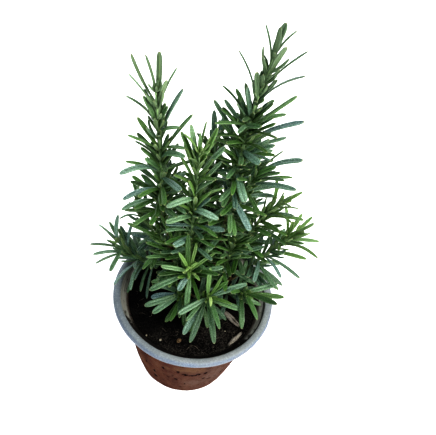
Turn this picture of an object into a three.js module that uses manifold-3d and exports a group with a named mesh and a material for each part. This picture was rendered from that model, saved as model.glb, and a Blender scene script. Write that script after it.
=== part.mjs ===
// A rosemary plant in a round clay pot with a glazed lip.
//
// Millimetres, +Z up. The origin is the middle of the pot's foot, on the ground.
// +X is to the right and +Y to the back of the side that the plant shows best.
import * as THREE from 'three';
import { mergeVertices } from 'three/addons/utils/BufferGeometryUtils.js';
import Module from 'manifold-3d';

const wasm = await Module();
wasm.setup();

// ---------------------------------------------------------------- driving sizes

const GAP = 0.3;                  // clearance between pieces that touch

const POT_HEIGHT = 94;
const FOOT_RADIUS = 39.5;
const NECK_RADIUS = 57;           // outside of the wall, just under the lip
const BULGE = 1;                  // how far the wall swells at half its height
const WALL = 4;
const FLOOR = 7;
const LIP_OUTER = 65;
const LIP_INNER = 58.5;
const LIP_DEPTH = 6.5;
const POT_EDGE = 2;               // small slope round the foot, and between the wall and the floor
const POT_SEGMENTS = 40;
const WALL_STEPS = 3;
const LIP_STEPS = 6;
const DRAIN_RADIUS = 4.5;
const DRAIN_CIRCLE = 18;
const DRAIN_COUNT = 3;
const DRAIN_SEGMENTS = 12;

const SOIL_LEVEL = 85.5;
const SOIL_DISH = 1.5;            // the soil is this much lower at the wall than in the middle
const SOIL_WAVE = 0.5;
const SOIL_SEGMENTS = 32;
const SOIL_RINGS = 4;
const SOIL_AIR = 3;               // between the soil and any leaf's tip
const GRAIN_SHAPE = [1, 0.8, 0.65]; // a grain's half sizes as shares of its radius
const SLIVER_THICKNESS = 1.6;

const LEAF_LENGTH = 29;
const LEAF_WIDTH = 4.4;
const YOUNG_LEAF_WIDTH = 3;
const LEAF_THICKNESS = 1;
const LEAF_ARCH = 0.12;           // rise of a leaf's middle, as a share of its length
const LEAF_DROOP = 3;             // how far the lowest leaves of a shoot hang down
const LEAF_FORM = [[0, 0.28], [0.55, 1], [1, 0]]; // [how far along a leaf, share of its width]
const WIDE_ANGLE = 78;            // between a shoot and its lowest leaves, in degrees
const NARROW_ANGLE = 28;          // and its youngest
const YOUNG_FROM = 0.8;           // past this share of a shoot, its leaves are not full grown
const TIP_LEAF_LENGTH = 20;
const NODE_SPACING = 10;          // along a shoot, from one pair of leaves to the next
const LEAF_GAP = 0.5;             // air kept between leaves
const LEAF_BEADS = 6;
const JOINED = 0.45;              // leaves of one shoot may meet over this share of their length
const WHOLE = 2;                  // and those that give the outline, over all of it
const STEM_SIDES = 5;
const STEM_BEAD_STEP = 2.5;

// ---------------------------------------------------------------- the plant's layout

// Woody stems, from inside the soil to where the first leafy shoot takes over.
const stems = {
  stem_left: { path: [[-12, 3, 66], [-15, 5, 92], [-19, 8, 119], [-25, 11, 143]], radii: [2.2, 1.5] },
  stem_centre: { path: [[-3, -3, 66], [-4, -2, 94], [-6, 0, 122]], radii: [2.1, 1.5] },
  stem_right: { path: [[10, 7, 66], [12, 9, 92], [12.5, 12, 119], [13.5, 15, 143]], radii: [2.3, 1.5] },
  stem_back: { path: [[3, 17, 66], [2, 20, 96], [0, 26, 126]], radii: [1.9, 1.3] },
  stem_far_left: { path: [[-17, 12, 66], [-22, 14, 86], [-30, 18, 104]], radii: [1.8, 1.3] },
  stem_far_right: { path: [[18, 3, 66], [22, 6, 90], [27, 9, 110]], radii: [1.8, 1.3] },
};

// Leafy shoots. path: from the stem to the growing tip. leaves: single leaves that give the plant
// its outline, each as [how far up the shoot it starts, x, y, z of its tip, how much it bows], some
// also with its turn about its own line in degrees, and its width. The rest of the leaves grow in
// crossed pairs between the two fractions in filled; turn is the first pair's direction.
const shoots = {
  leader_left: {
    path: [[-25.4, 11.3, 144.5], [-34, 14, 178], [-36.5, 15, 214], [-40.5, 16, 250], [-44.5, 16, 286]],
    radii: [1.4, 0.7], filled: [0.2, 0.72], turn: 20,
    leaves: [
      [0.93, -62, 20, 309, 0.1, 195, 3.6], [0.95, -53, 20, 310, 0.1, 20, 3],
      [0.92, -45, 24, 311, 0.08, 180, 4], [0.87, -62, 14, 298, 0.08, 30, 3],
      [0.87, -33, 24, 301, 0.08, -30, 3], [0.84, -38, 14, 298, 0.1, -40, 3.6],
      [0.7, -64, 18, 276, 0.28, 25], [0.76, -52, 12, 284, 0.1, -35], [0.73, -28, 24, 285, 0.1],
      [0.77, -36, 16, 275, 0.1, 30], [0.63, -55, 12, 265, 0.08, -30, 4.2],
      [0.6, -20, 28, 261, 0.08, -15], [0.66, -26, 12, 262, 0.5], [0.58, -55, 14, 249, 0.12, -10],
      [0.56, -56, 14, 241, 0.15, 25], [0.53, -52, 14, 236, 0.12], [0.5, -47, 2, 238, 0.1, -40],
      [0.5, -64, 2, 219, 0.4, 0, 5], [0.38, -60, -4, 200, 0.3, 0, 5], [0.29, -61, -2, 186, 0.35, 0, 5],
      [0.57, -20, 3, 245, 0.4, 20, 4.8], [0.47, -20, -6, 221, 0.1, 0, 5.4], [0.5, -27, 22, 238, 0.1],
      [0.56, -34, 18, 249, 0.1], [0.42, -28, 26, 214, 0.1],
      [0.32, -23, 24, 209, 0.1], [0.26, -19, 22, 199, 0.12],
    ],
  },
  leader_right: {
    path: [[13.9, 15.3, 144.5], [15, 22, 188], [17, 28, 232], [19.5, 30, 275], [25, 30, 316]],
    radii: [1.5, 0.7], filled: [0.05, 0.68], turn: 65,
    leaves: [
      [0.95, 28, 32, 341, 0.05, 0, 4.8], [0.93, 25, 28, 340, 0.05, 0, 4.4],
      [0.95, 16, 33, 337, 0.12, 25, 2.8], [0.93, 36, 40, 331, 0.17, -60, 2.8],
      [0.82, 31, 28, 327, 0.06, -40, 4.8], [0.84, 45, 34, 322, 0.06, -35, 3],
      [0.77, 3, 38, 311, 0.12, 35, 3], [0.74, 47, 30, 306, 0.19, -25, 3.6],
      [0.76, 16, 26, 306, 0.1, -80], [0.78, 19, 32, 303, 0.1, 0, 3], [0.74, 31, 40, 292, 0.1, 0, 3.4],
      [0.88, 19, 36, 312, 0.3, 55, 2], [0.63, -4, 37, 282, 0.18, 30], [0.66, 12, 28, 292, 0.1, -50],
      [0.52, -8, 40, 266, 0.04, 0, 4.8], [0.64, 8, 45, 269, 0.1], [0.62, 46, 38, 283, 0.05, -15, 4.4],
      [0.64, 31, 29, 281, 0.1, 25, 3.4], [0.64, 28, 34, 277, 0.1, 0, 3],
      [0.56, 54, 30, 269, 0.12, 0, 4.8], [0.5, 12, 44, 261, 0.1], [0.58, 33, 24, 273, 0.1, 5],
      [0.57, 35, 22, 270, 0.1], [0.6, 26, 16, 271, 0.5, 60], [0.46, 38, 22, 251, 0.2, 20],
      [0.52, 30, 10, 243, 0.2, 45, 5.4], [0.4, 25, 4, 209, 0.2, 20, 6.2], [0.47, 34, 30, 248, 0.1],
      [0.44, 0, 34, 245, 0.1], [0.28, 36, 4, 182, 0.15, 15, 5.6], [0.42, 40, 26, 233, 0.1],
      [0.38, 41, 22, 231, 0.12], [0.34, 43, 22, 226, 0.1], [0.31, 40, 24, 216, 0.12],
      [0.27, 37, 24, 204, 0.1],
    ],
  },
  leader_centre: {
    path: [[-6.2, 0.4, 123.5], [-8.5, 4.5, 158], [-10, 8, 203], [-11.5, 8, 247]],
    radii: [1.4, 0.7], filled: [0.04, 0.96], turn: 40,
    leaves: [
      [0.86, -20, 15, 264, 0.06, 0, 4.6], [0.83, -26, 15, 256, 0.08], [0.9, -13, 12, 261, 0.05, 0, 2.6],
      [0.9, -10, 16, 268, 0.05, -60, 2.6], [0.86, -6, 12, 258, 0.1, -50, 2.6],
      [0.85, -2, 18, 262, 0.08], [0.77, 5, 18, 246, 0.1], [0.69, -24, 8, 240, 0.1],
      [0.62, 1, 0, 230, 0.25, 30, 3.6], [0.6, -16, 0, 226, 0.1, -60, 3.4],
      [0.53, 0, 3, 215, 0.15, 40, 3.6], [0.64, -29, -8, 204, 0.5, -20, 5], [0.5, 1, 2, 210, 0.15, 40],
      [0.55, 9, -6, 198, 0.6, 35, 5.2], [0.43, 15, -4, 185, 0.15, 20, 5],
      [0.52, -28, -10, 190, 0.3, -20, 5], [0.36, -20, -18, 175, 0.15, -20, 5.4],
    ],
  },
  leader_back: {
    path: [[0, 26.4, 127.5], [-1, 33, 160], [-1, 38, 192], [-2, 41, 224]],
    radii: [1.2, 0.6], filled: [0.04, 0.98], turn: 10,
    leaves: [
      [0.9, -7, 56, 243, 0.1], [0.92, 2, 49, 246, 0.1], [0.7, -11, 32, 217, 0.12],
      [0.66, 11, 36, 216, 0.12],
    ],
  },
  shoot_low_left: {
    path: [[-31, 16, 106], [-46, 14, 108], [-57, 13, 118], [-65, 12, 131]],
    radii: [1.2, 0.6], filled: [0.1, 0.95], turn: 30,
    leaves: [
      [0.9, -81, 12, 148, 0.05, 30, 3], [0.87, -67, 19, 155, 0.33, 0, 4.2], [0.4, -66, 23, 137, 0.1],
      [0.7, -85, 0, 137, 0.12, 15, 3.6], [0.6, -83, 1, 123, 0.15, 10, 3.6], [0.8, -68, -6, 114, 0.1],
      [0.3, -63, -14, 108, 0.2, 0, 5.6], [0.3, -50, -12, 101, 0.25, 0, 4.8], [0.35, -60, 33, 112, 0.1],
    ],
  },
  shoot_left_back: {
    path: [[-31, 21, 106], [-37, 28, 124], [-47, 31, 137], [-54, 33, 158]],
    radii: [1.1, 0.6], filled: [0.1, 0.35], turn: 80,
    leaves: [
      [0.66, -56, 25, 156, 0.1, 0, 3], [0.68, -51, 26, 157, 0.1, 0, 2.6],
      [0.65, -45, 26, 158, 0.1, 0, 3], [0.7, -66, 19, 150, 0.3, 30, 2.6], [0.34, -50, 18, 124, 0.12],
      [0.95, -60, 38, 174, 0.1, 0, 3.2], [0.97, -55, 36, 176, 0.1, 0, 3],
    ],
  },
  shoot_front: {
    path: [[-5, -3, 116], [-5, -9, 133], [-6, -17, 146]],
    radii: [1.1, 0.6], filled: [0.1, 0.7], turn: 15,
    leaves: [
      [1, -11, -6, 177, 0.1, 0, 4], [1, -4, 0, 161, 0.1, 0, 3], [1, -16, -15, 165, 0.1, 0, 3],
      [0.95, 11, -4, 157, 0.1, 0, 3], [0.95, -27, -25, 158, 0.12, 0, 4],
      [0.7, 19, -9, 148, 0.12, 0, 4.4], [0.98, -9, -25, 156, 0.6, 0, 2.4],
      [0.98, -1, -13, 154, 0.4, 0, 2.2], [0.98, -5, -27, 152, 0.3, 0, 2.6],
      [0.9, 3, -24, 147, 0.2, 0, 2.4], [0.85, -33, -33, 137, 0.15, 0, 4.8],
      [0.6, -12, -26, 132, 0.4, 0, 5.2], [0.7, -4, -33, 121, 0.3, 0, 4.8],
    ],
  },
  shoot_low_front: {
    path: [[2, -6, 98], [8, -15, 112], [11, -24, 126]],
    radii: [1.1, 0.6], filled: [0.1, 0.7], turn: 50,
    leaves: [
      [1, 9, -12, 149, 0.1, 0, 4], [1, 19, -17, 148, 0.1, 0, 2.4], [0.95, -9, -43, 127, 0.12, 0, 4.8],
      [0.75, 3, -52, 104, 0.15, 0, 4.8], [0.9, 21, -58, 118, 0.15, 0, 4.8],
      [0.7, -3, -46, 104, 0.12, 0, 5.4], [1, 29, -34, 138, 0.15, 0, 3], [1, 14, -36, 133, 0.5, 0, 2.8],
      [0.95, 23, -51, 128, 0.2, 0, 4], [0.9, 39, -12, 136, 0.1, 0, 4.8],
      [0.75, 38, -27, 122, 0.15, 0, 5],
    ],
  },
  shoot_low_right_front: {
    path: [[22, 2, 98], [33, -7, 116], [38, -16, 129]],
    radii: [1.1, 0.6], filled: [0.1, 0.8], turn: 0,
    leaves: [
      [0.93, 69, -14, 129, 0.1, 0, 4.2], [0.95, 63, -27, 137, 0.1], [0.9, 50, -39, 130, 0.25, 0, 4.2],
      [0.76, 44, -41, 118, 0.2, 0, 4.6], [0.7, 35, -14, 145, 0.1], [0.9, 62, -8, 137, 0.2],
    ],
  },
  shoot_low_left_front: {
    path: [[-8, -4, 98], [-9, -11, 108], [-10, -18, 116]],
    radii: [1.1, 0.6], filled: [0.1, 0.8], turn: 70,
    leaves: [
      [0.95, -36, -31, 112, 0.15, 0, 5], [0.8, -33, -17, 104, 0.15, 0, 5],
      [0.9, -29, -34, 108, 0.15, 0, 5.2], [0.85, -31, -9, 118, 0.15, 0, 4.8],
    ],
  },
  shoot_right: {
    path: [[26, 13, 118], [33, 20, 150], [41, 22, 175], [51, 22, 194]],
    radii: [1.1, 0.6], filled: [0.1, 0.95], turn: 45,
    leaves: [
      [0.93, 58, 18, 209, 0.05, 40, 3.2], [0.9, 52, 21, 208, 0.05, -40, 2.6],
      [0.85, 64, 12, 203, 0.1, -15, 3], [0.7, 63, 14, 192, 0.15], [0.66, 71, 16, 187, 0.15, -15],
      [0.5, 49, 5, 176, 0.2, 30], [0.6, 54, 5, 182, 0.2, 30], [0.45, 62, 4, 169, 0.3],
      [0.5, 41, 27, 195, 0.1, 60, 2.4],
    ],
  },
  shoot_low_right: {
    path: [[30, 9, 112], [47, 12, 139], [57, 13, 156], [68, 14, 174]],
    radii: [1.1, 0.6], filled: [0.1, 0.95], turn: 75,
    leaves: [
      [0.95, 78, 11, 191, 0.05, 30, 3.4], [0.88, 75, 7, 183, 0.08, 30, 3],
      [0.75, 74, 3, 176, 0.08, 15, 3.6], [0.65, 86, -3, 169, 0.3, -10], [0.5, 62, 3, 160, 0.15, 20],
      [0.4, 77, -8, 148, 0.1, -15, 4.6], [0.27, 64, -14, 138, 0.1, 0, 4.6], [0.3, 43, -12, 139, 0.15],
      [0.34, 62, -3, 163, 0.1],
    ],
  },
  shoot_high_right: {
    path: [[18, 23, 184], [23, 21, 202], [27.5, 19, 216], [31, 17, 229]],
    radii: [1, 0.6], filled: [0.15, 0.6], turn: 30,
    leaves: [
      [0.8, 44, 21, 248, 0.1, -60, 2.8], [0.95, 57, 9, 254, 0.15, 0, 5.2], [0.7, 41, 12, 241, 0.2, 40],
      [0.6, 44, 4, 244, 0.1, 15], [0.6, 48, 5, 236, 0.15], [0.55, 58, 7, 227, 0.12, 0, 5.2],
    ],
  },
  shoot_back_left: {
    path: [[-18, 16, 112], [-26, 32, 130], [-32, 46, 152]],
    radii: [1.2, 0.6], filled: [0.12, 0.98], turn: 25,
    leaves: [[0.98, -28, 50, 186, 0.1], [0.95, -33, 44, 184, 0.1], [0.9, -21, 48, 183, 0.1]],
  },
  shoot_back_right: {
    path: [[8, 24, 112], [18, 40, 134], [24, 52, 160]],
    radii: [1.2, 0.6], filled: [0.12, 0.98], turn: 60, leaves: [],
  },
  shoot_back_low: {
    path: [[1, 26, 104], [-3, 44, 112], [-6, 60, 128]],
    radii: [1.2, 0.6], filled: [0.15, 0.98], turn: 85, leaves: [],
  },
  shoot_inner_left: {
    path: [[-17, 5, 116], [-17, -1, 136], [-20, 0, 158]],
    radii: [1.1, 0.6], filled: [0.12, 0.9], turn: 35, leaves: [],
  },
  shoot_inner_right: {
    path: [[15.5, 8.5, 116], [21, 5, 138], [24, 7, 160]],
    radii: [1.1, 0.6], filled: [0.12, 0.9], turn: 65, leaves: [],
  },
  shoot_left: {
    path: [[-24, 12, 130], [-29, 10, 141], [-33, 9, 154]],
    radii: [1.1, 0.6], filled: [0.3, 0.9], turn: 60, leaves: [],
  },
};

// Debris on the soil: [x, y, radius] of each pale grain.
const grains = {
  perlite_left: [-25, -14, 1],
  perlite_front: [-20, -43, 1.1],
  perlite_edge: [-31.5, -40.5, 0.8],
  perlite_right: [29.5, -25.5, 0.6],
  bark_crumb: [-5.5, -41, 2.2],
};

// Slivers of wood on the soil: both ends, the width and the lean to one side in degrees.
const slivers = {
  wood_chip_upper: { ends: [[25, -6], [41, -20]], width: 4.6, lean: 8 },
  wood_chip_lower: { ends: [[43, -24.5], [33, -38.5]], width: 3.4, lean: -6 },
};

// ---------------------------------------------------------------- materials

const finish = (color, roughness) => new THREE.MeshStandardMaterial({ color, roughness, metalness: 0 });
const clay = finish('#8d4a35', 0.85);
const soilBlack = finish('#17120f', 1);
const bark = finish('#5b4632', 0.9);
const leafGreen = finish('#3f6b3c', 0.5);
const perliteWhite = finish('#d8d4c6', 0.9);
const paleWood = finish('#8f8672', 0.9);

// ---------------------------------------------------------------- solids from three.js geometry

const degrees = THREE.MathUtils.degToRad;
const vector = (numbers) => new THREE.Vector3(...numbers);
const UP = vector([0, 0, 1]);

function toSolid(geometry) {
  const bare = geometry.clone();
  bare.deleteAttribute('normal');
  bare.deleteAttribute('uv');
  const welded = mergeVertices(bare);
  return new wasm.Manifold(new wasm.Mesh({
    numProp: 3,
    vertProperties: new Float32Array(welded.attributes.position.array),
    triVerts: new Uint32Array(welded.index.array),
  }));
}

function toGeometry(solid) {
  const mesh = solid.getMesh();
  const geometry = new THREE.BufferGeometry();
  geometry.setAttribute('position', new THREE.BufferAttribute(mesh.vertProperties, 3));
  geometry.setIndex(new THREE.BufferAttribute(mesh.triVerts, 1));
  geometry.computeVertexNormals();
  return geometry;
}

function toMesh(name, geometry, material) {
  const mesh = new THREE.Mesh(geometry, material);
  mesh.name = name;
  return mesh;
}

// Moves every point of a unit-high geometry that stands along Y to place(x, along 0..1, z).
function reshape(geometry, place) {
  const positions = geometry.attributes.position;
  for (let i = 0; i < positions.count; i += 1) {
    const spot = place(positions.getX(i), positions.getY(i) + 0.5, positions.getZ(i));
    positions.setXYZ(i, spot.x, spot.y, spot.z);
  }
  return geometry;
}

// ---------------------------------------------------------------- pot and soil

function wallRadius(height) {
  const rise = height / (POT_HEIGHT - LIP_DEPTH);
  return FOOT_RADIUS + (NECK_RADIUS - FOOT_RADIUS) * rise + 4 * BULGE * rise * (1 - rise);
}

function wallPoints(from, to, inset, steps) {
  return Array.from({ length: steps + 1 }, (_, i) => {
    const height = from + (to - from) * i / steps;
    return new THREE.Vector2(wallRadius(height) - inset, height);
  });
}

function lipPoints() {
  const middle = (LIP_OUTER + LIP_INNER) / 2;
  const across = (LIP_OUTER - LIP_INNER) / 2;
  const level = POT_HEIGHT - LIP_DEPTH / 2;
  return Array.from({ length: LIP_STEPS + 1 }, (_, i) => {
    const angle = degrees(-60 + 240 * i / LIP_STEPS);
    return new THREE.Vector2(middle + across * Math.cos(angle), level + LIP_DEPTH / 2 * Math.sin(angle));
  });
}

function lathe(profile, segments) {
  return new THREE.LatheGeometry(profile, segments).rotateX(degrees(90));
}

function buildPot() {
  const neck = POT_HEIGHT - LIP_DEPTH;
  const profile = [
    new THREE.Vector2(0, 0),
    new THREE.Vector2(FOOT_RADIUS - POT_EDGE, 0),
    ...wallPoints(POT_EDGE, neck, 0, WALL_STEPS),
    ...lipPoints(),
    ...wallPoints(neck - POT_EDGE, FLOOR + POT_EDGE, WALL, WALL_STEPS),
    new THREE.Vector2(wallRadius(FLOOR) - WALL - POT_EDGE, FLOOR),
    new THREE.Vector2(0, FLOOR),
  ];
  let pot = toSolid(lathe(profile, POT_SEGMENTS));
  for (let i = 0; i < DRAIN_COUNT; i += 1) {
    const angle = degrees(90 + 360 * i / DRAIN_COUNT);
    const drain = new THREE.CylinderGeometry(DRAIN_RADIUS, DRAIN_RADIUS, FLOOR * 2, DRAIN_SEGMENTS);
    drain.rotateX(degrees(90));
    drain.translate(DRAIN_CIRCLE * Math.cos(angle), DRAIN_CIRCLE * Math.sin(angle), FLOOR / 2);
    pot = pot.subtract(toSolid(drain));
  }
  return toMesh('pot', toGeometry(pot), clay);
}

function soilTop(x, y) {
  const dish = SOIL_DISH * (x * x + y * y) / (NECK_RADIUS * NECK_RADIUS);
  const wave = SOIL_WAVE * Math.sin(x / 9 + 1) * Math.cos(y / 11);
  return SOIL_LEVEL - dish + wave;
}

function buildSoil() {
  const bottom = FLOOR + GAP;
  const rim = wallRadius(SOIL_LEVEL) - WALL - 2 * GAP;
  const profile = [
    new THREE.Vector2(0, bottom),
    new THREE.Vector2(wallRadius(bottom) - WALL - 1.5 * POT_EDGE, bottom),
    ...wallPoints(bottom + 1.5 * POT_EDGE, SOIL_LEVEL - 2 * SOIL_DISH, WALL + 3 * GAP, WALL_STEPS - 1),
  ];
  for (let i = 0; i < SOIL_RINGS; i += 1) {
    profile.push(new THREE.Vector2(rim * (1 - i / SOIL_RINGS), SOIL_LEVEL));
  }
  profile.push(new THREE.Vector2(0, SOIL_LEVEL));
  const geometry = lathe(profile, SOIL_SEGMENTS);
  const positions = geometry.attributes.position;
  for (let i = 0; i < positions.count; i += 1) {
    if (positions.getZ(i) > SOIL_LEVEL - GAP) {
      positions.setZ(i, soilTop(positions.getX(i), positions.getY(i)));
    }
  }
  let soil = toSolid(geometry);
  for (const { path, radii } of Object.values(stems)) {
    const socket = radii.map((radius) => radius + GAP);
    soil = soil.subtract(toSolid(taperedTube(path, socket)));
  }
  return toMesh('soil', toGeometry(soil), soilBlack);
}

function buildGrain(name, [x, y, radius], order) {
  const stone = new THREE.IcosahedronGeometry(radius, 0);
  stone.scale(...GRAIN_SHAPE).rotateZ(order);
  stone.translate(x, y, soilTop(x, y) + radius * GRAIN_SHAPE[2] + 2 * GAP);
  return toMesh(name, toGeometry(toSolid(stone)), name.startsWith('perlite') ? perliteWhite : bark);
}

function buildSliver(name, { ends, width, lean }) {
  const [[x0, y0], [x1, y1]] = ends;
  const length = Math.hypot(x1 - x0, y1 - y0);
  const outline = new THREE.Shape([
    new THREE.Vector2(-0.5 * length, 0.1 * width),
    new THREE.Vector2(-0.36 * length, -0.35 * width),
    new THREE.Vector2(0.1 * length, -0.5 * width),
    new THREE.Vector2(0.44 * length, -0.3 * width),
    new THREE.Vector2(0.5 * length, 0.05 * width),
    new THREE.Vector2(0.3 * length, 0.45 * width),
    new THREE.Vector2(-0.25 * length, 0.5 * width),
  ]);
  const sliver = new THREE.ExtrudeGeometry(outline, { depth: SLIVER_THICKNESS, bevelEnabled: false });
  sliver.rotateX(degrees(lean)).rotateZ(Math.atan2(y1 - y0, x1 - x0));
  const middle = [(x0 + x1) / 2, (y0 + y1) / 2];
  const lift = Math.abs(Math.sin(degrees(lean))) * width / 2 + SOIL_WAVE + GAP;
  sliver.translate(middle[0], middle[1], soilTop(...middle) + lift);
  return toMesh(name, toGeometry(toSolid(sliver)), paleWood);
}

// ---------------------------------------------------------------- stems

function curveOf(path) {
  return new THREE.CatmullRomCurve3(path.map(vector), false, 'catmullrom', 0.5);
}

function headingAt(curve, t) {
  const step = 0.01;
  const ahead = curve.getPoint(Math.min(t + step, 1));
  return ahead.sub(curve.getPoint(Math.max(t - step, 0))).normalize();
}

// The part of a vector that is square to a unit axis, made one long.
function squareTo(axis, other) {
  return other.clone().addScaledVector(axis, -axis.dot(other)).normalize();
}

// The side that turns on a shoot are counted from: +X, or up where the shoot runs along X.
function sideOf(path, axis) {
  const chord = vector(path.at(-1)).sub(vector(path[0])).normalize();
  return squareTo(axis, Math.abs(chord.x) > 0.8 ? UP : vector([1, 0, 0]));
}

// A round tube along a path, from the first radius to the second.
function taperedTube(path, radii) {
  const curve = curveOf(path);
  const rings = 2 * (path.length - 1);
  const tube = new THREE.CylinderGeometry(1, 1, 1, STEM_SIDES, rings);
  return reshape(tube, (x, along, z) => {
    const axis = headingAt(curve, along);
    const side = sideOf(path, axis);
    const radius = radii[0] + (radii[1] - radii[0]) * along;
    const spot = curve.getPoint(along).addScaledVector(side, -x * radius);
    return spot.addScaledVector(axis.cross(side), z * radius);
  });
}

function buildStem(name, { path, radii }) {
  return toMesh(name, toGeometry(toSolid(taperedTube(path, radii))), bark);
}

// ---------------------------------------------------------------- leaves

// A repeatable number from -1 to 1 for up to three counters.
function jitter(a, b = 0, c = 0) {
  const value = Math.sin(a * 12.9898 + b * 78.233 + c * 37.719) * 43758.5453;
  return 2 * (value - Math.floor(value)) - 1;
}

// A leaf is a curve from its base over a knee to its tip, with the way its upper face looks.
function makeLeaf({ base, axis, reach, arch, width, roll }) {
  const length = reach.length();
  const along = reach.clone().normalize();
  const up = squareTo(along, axis.clone().addScaledVector(UP, 0.6)).applyAxisAngle(along, degrees(roll));
  const tip = base.clone().add(reach);
  const knee = base.clone().addScaledVector(reach, 0.5).addScaledVector(up, arch * length);
  const curve = new THREE.QuadraticBezierCurve3(base, knee, tip);
  return { curve, up, side: along.clone().cross(up), length, width };
}

// A leaf's space as a string of flattened beads, to keep leaves out of each other.
function leafBeads(leaf, shoot) {
  return Array.from({ length: LEAF_BEADS }, (_, i) => {
    const along = 0.2 + 0.8 * i / (LEAF_BEADS - 1);
    const taper = along > 0.95 ? 0.6 : 1;
    return {
      shoot,
      along,
      centre: leaf.curve.getPoint(along),
      arms: [
        leaf.side.clone().multiplyScalar(leaf.width * 0.5 * taper),
        leaf.up.clone().multiplyScalar(LEAF_THICKNESS * 0.6),
        leaf.curve.getTangent(along).multiplyScalar(leaf.length * 0.075),
      ],
    };
  });
}

function stemBeads({ path, radii }, shoot, along) {
  const curve = curveOf(path);
  const count = Math.floor(vector(path.at(-1)).distanceTo(vector(path[0])) / STEM_BEAD_STEP) + 2;
  return Array.from({ length: count + 1 }, (_, i) => {
    const radius = radii[0] + (radii[1] - radii[0]) * i / count;
    const arms = [vector([radius, 0, 0]), vector([0, radius, 0]), vector([0, 0, radius])];
    return { shoot, along, centre: curve.getPoint(i / count), arms };
  });
}

function reachTowards(bead, direction) {
  return Math.hypot(...bead.arms.map((arm) => arm.dot(direction)));
}

function isClear(beads, crowd, joined) {
  const sight = 2 * LEAF_WIDTH;
  const between = new THREE.Vector3();
  return beads.every((bead) => crowd.every((other) => {
    if (bead.shoot === other.shoot && Math.min(bead.along, other.along) < joined) {
      return true;
    }
    const distance = between.subVectors(other.centre, bead.centre).length();
    if (distance >= sight) {
      return true;
    }
    between.normalize();
    return distance >= reachTowards(bead, between) + reachTowards(other, between) + LEAF_GAP;
  }));
}

// Adds the leaf where it was asked for, or turned round its shoot to the first clear place.
function settleLeaf(leaves, crowd, shoot, wish, joined) {
  for (const turn of [0, 9, -9, 18, -18, 30, -30, 42, -42]) {
    const reach = wish.reach.clone().applyAxisAngle(wish.axis, degrees(turn));
    const leaf = makeLeaf({ ...wish, reach });
    const beads = leafBeads(leaf, shoot);
    if (beads.at(-1).centre.z > SOIL_LEVEL + SOIL_AIR && isClear(beads, crowd, joined)) {
      crowd.push(...beads);
      leaves.push(leaf);
      return;
    }
  }
}

// The leaves that give the outline, each wished for by its tip.
function outlineWishes({ path, leaves }) {
  const curve = curveOf(path);
  return leaves.map(([along, x, y, z, arch, roll = 0, width = LEAF_WIDTH]) => {
    const base = curve.getPoint(along);
    return { base, axis: headingAt(curve, along), reach: vector([x, y, z]).sub(base), arch, roll, width };
  });
}

// Crossed pairs of leaves, spread wide low on the shoot and closing up towards its tip.
function pairWishes({ path, filled, turn }, order) {
  const curve = curveOf(path);
  const [from, to] = filled;
  const pairs = Math.floor(curve.getLength() * (to - from) / NODE_SPACING);
  const wishes = [];
  for (let i = 0; i <= pairs; i += 1) {
    const along = from + (to - from) * i / Math.max(pairs, 1);
    const axis = headingAt(curve, along);
    const side = sideOf(path, axis);
    for (const half of [0, 1]) {
      const round = turn + 90 * i + 180 * half + 14 * jitter(order, i, half);
      const out = side.clone().applyAxisAngle(axis, degrees(round));
      const angle = WIDE_ANGLE + (NARROW_ANGLE - WIDE_ANGLE) * along ** 1.3;
      const spread = degrees(angle + 9 * jitter(order, i, half + 5));
      const youth = Math.max(0, along - YOUNG_FROM) / (1 - YOUNG_FROM);
      const length = LEAF_LENGTH + (TIP_LEAF_LENGTH - LEAF_LENGTH) * youth;
      const reach = axis.clone().multiplyScalar(Math.cos(spread)).addScaledVector(out, Math.sin(spread));
      reach.multiplyScalar(length * (1 + 0.12 * jitter(order, i, half + 9)));
      reach.z -= LEAF_DROOP * (1 - along);
      wishes.push({
        base: curve.getPoint(along),
        axis,
        reach,
        arch: LEAF_ARCH + 0.06 * jitter(order, i, half + 2),
        width: LEAF_WIDTH + (YOUNG_LEAF_WIDTH - LEAF_WIDTH) * along,
        roll: 15 * jitter(order, i, half + 3),
      });
    }
  }
  return wishes;
}

// A slim three-sided blade: flat above, keeled below, widest in the middle. The cone gives it one
// point at its tip; its taper is taken out again before the leaf's own widths are put in.
function leafGeometry(leaf) {
  const bands = LEAF_FORM.length - 1;
  const cone = new THREE.ConeGeometry(1, 1, 3, bands);
  return reshape(cone, (x, along, z) => {
    const [place, share] = LEAF_FORM[Math.round(along * bands)];
    const taper = Math.max(1 - along, 1e-6);
    const across = -x / taper / Math.cos(degrees(30)) * share * leaf.width / 2;
    const keel = (z / taper + 0.5) / 1.5;
    const depth = LEAF_THICKNESS * (0.2 - keel) * Math.min(1, share + 0.4);
    const spot = leaf.curve.getPoint(place);
    return spot.addScaledVector(leaf.side, across).addScaledVector(leaf.up, depth);
  });
}

function growLeaves() {
  const crowd = [];
  const grown = new Map(Object.keys(shoots).map((name) => [name, []]));
  for (const [name, stem] of Object.entries(stems)) {
    crowd.push(...stemBeads(stem, name, 1));
  }
  for (const [name, shoot] of Object.entries(shoots)) {
    crowd.push(...stemBeads(shoot, name, 0.1).slice(1));
  }
  for (const [name, shoot] of Object.entries(shoots)) {
    for (const wish of outlineWishes(shoot)) {
      settleLeaf(grown.get(name), crowd, name, wish, WHOLE);
    }
  }
  Object.entries(shoots).forEach(([name, shoot], order) => {
    for (const wish of pairWishes(shoot, order)) {
      settleLeaf(grown.get(name), crowd, name, wish, JOINED);
    }
  });
  return grown;
}

// Leaves that meet round a speck of air would leave a void: only the shoot's outer skin is kept.
function outerSkin(solid) {
  return solid.decompose().reduce((best, piece) => (piece.volume() > best.volume() ? piece : best));
}

function buildShoot(name, { path, radii }, leaves) {
  let shoot = toSolid(taperedTube(path, radii));
  for (const leaf of leaves) {
    shoot = shoot.add(toSolid(leafGeometry(leaf)));
  }
  return toMesh(name, toGeometry(outerSkin(shoot)), leafGreen);
}

// ---------------------------------------------------------------- the whole plant

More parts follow.
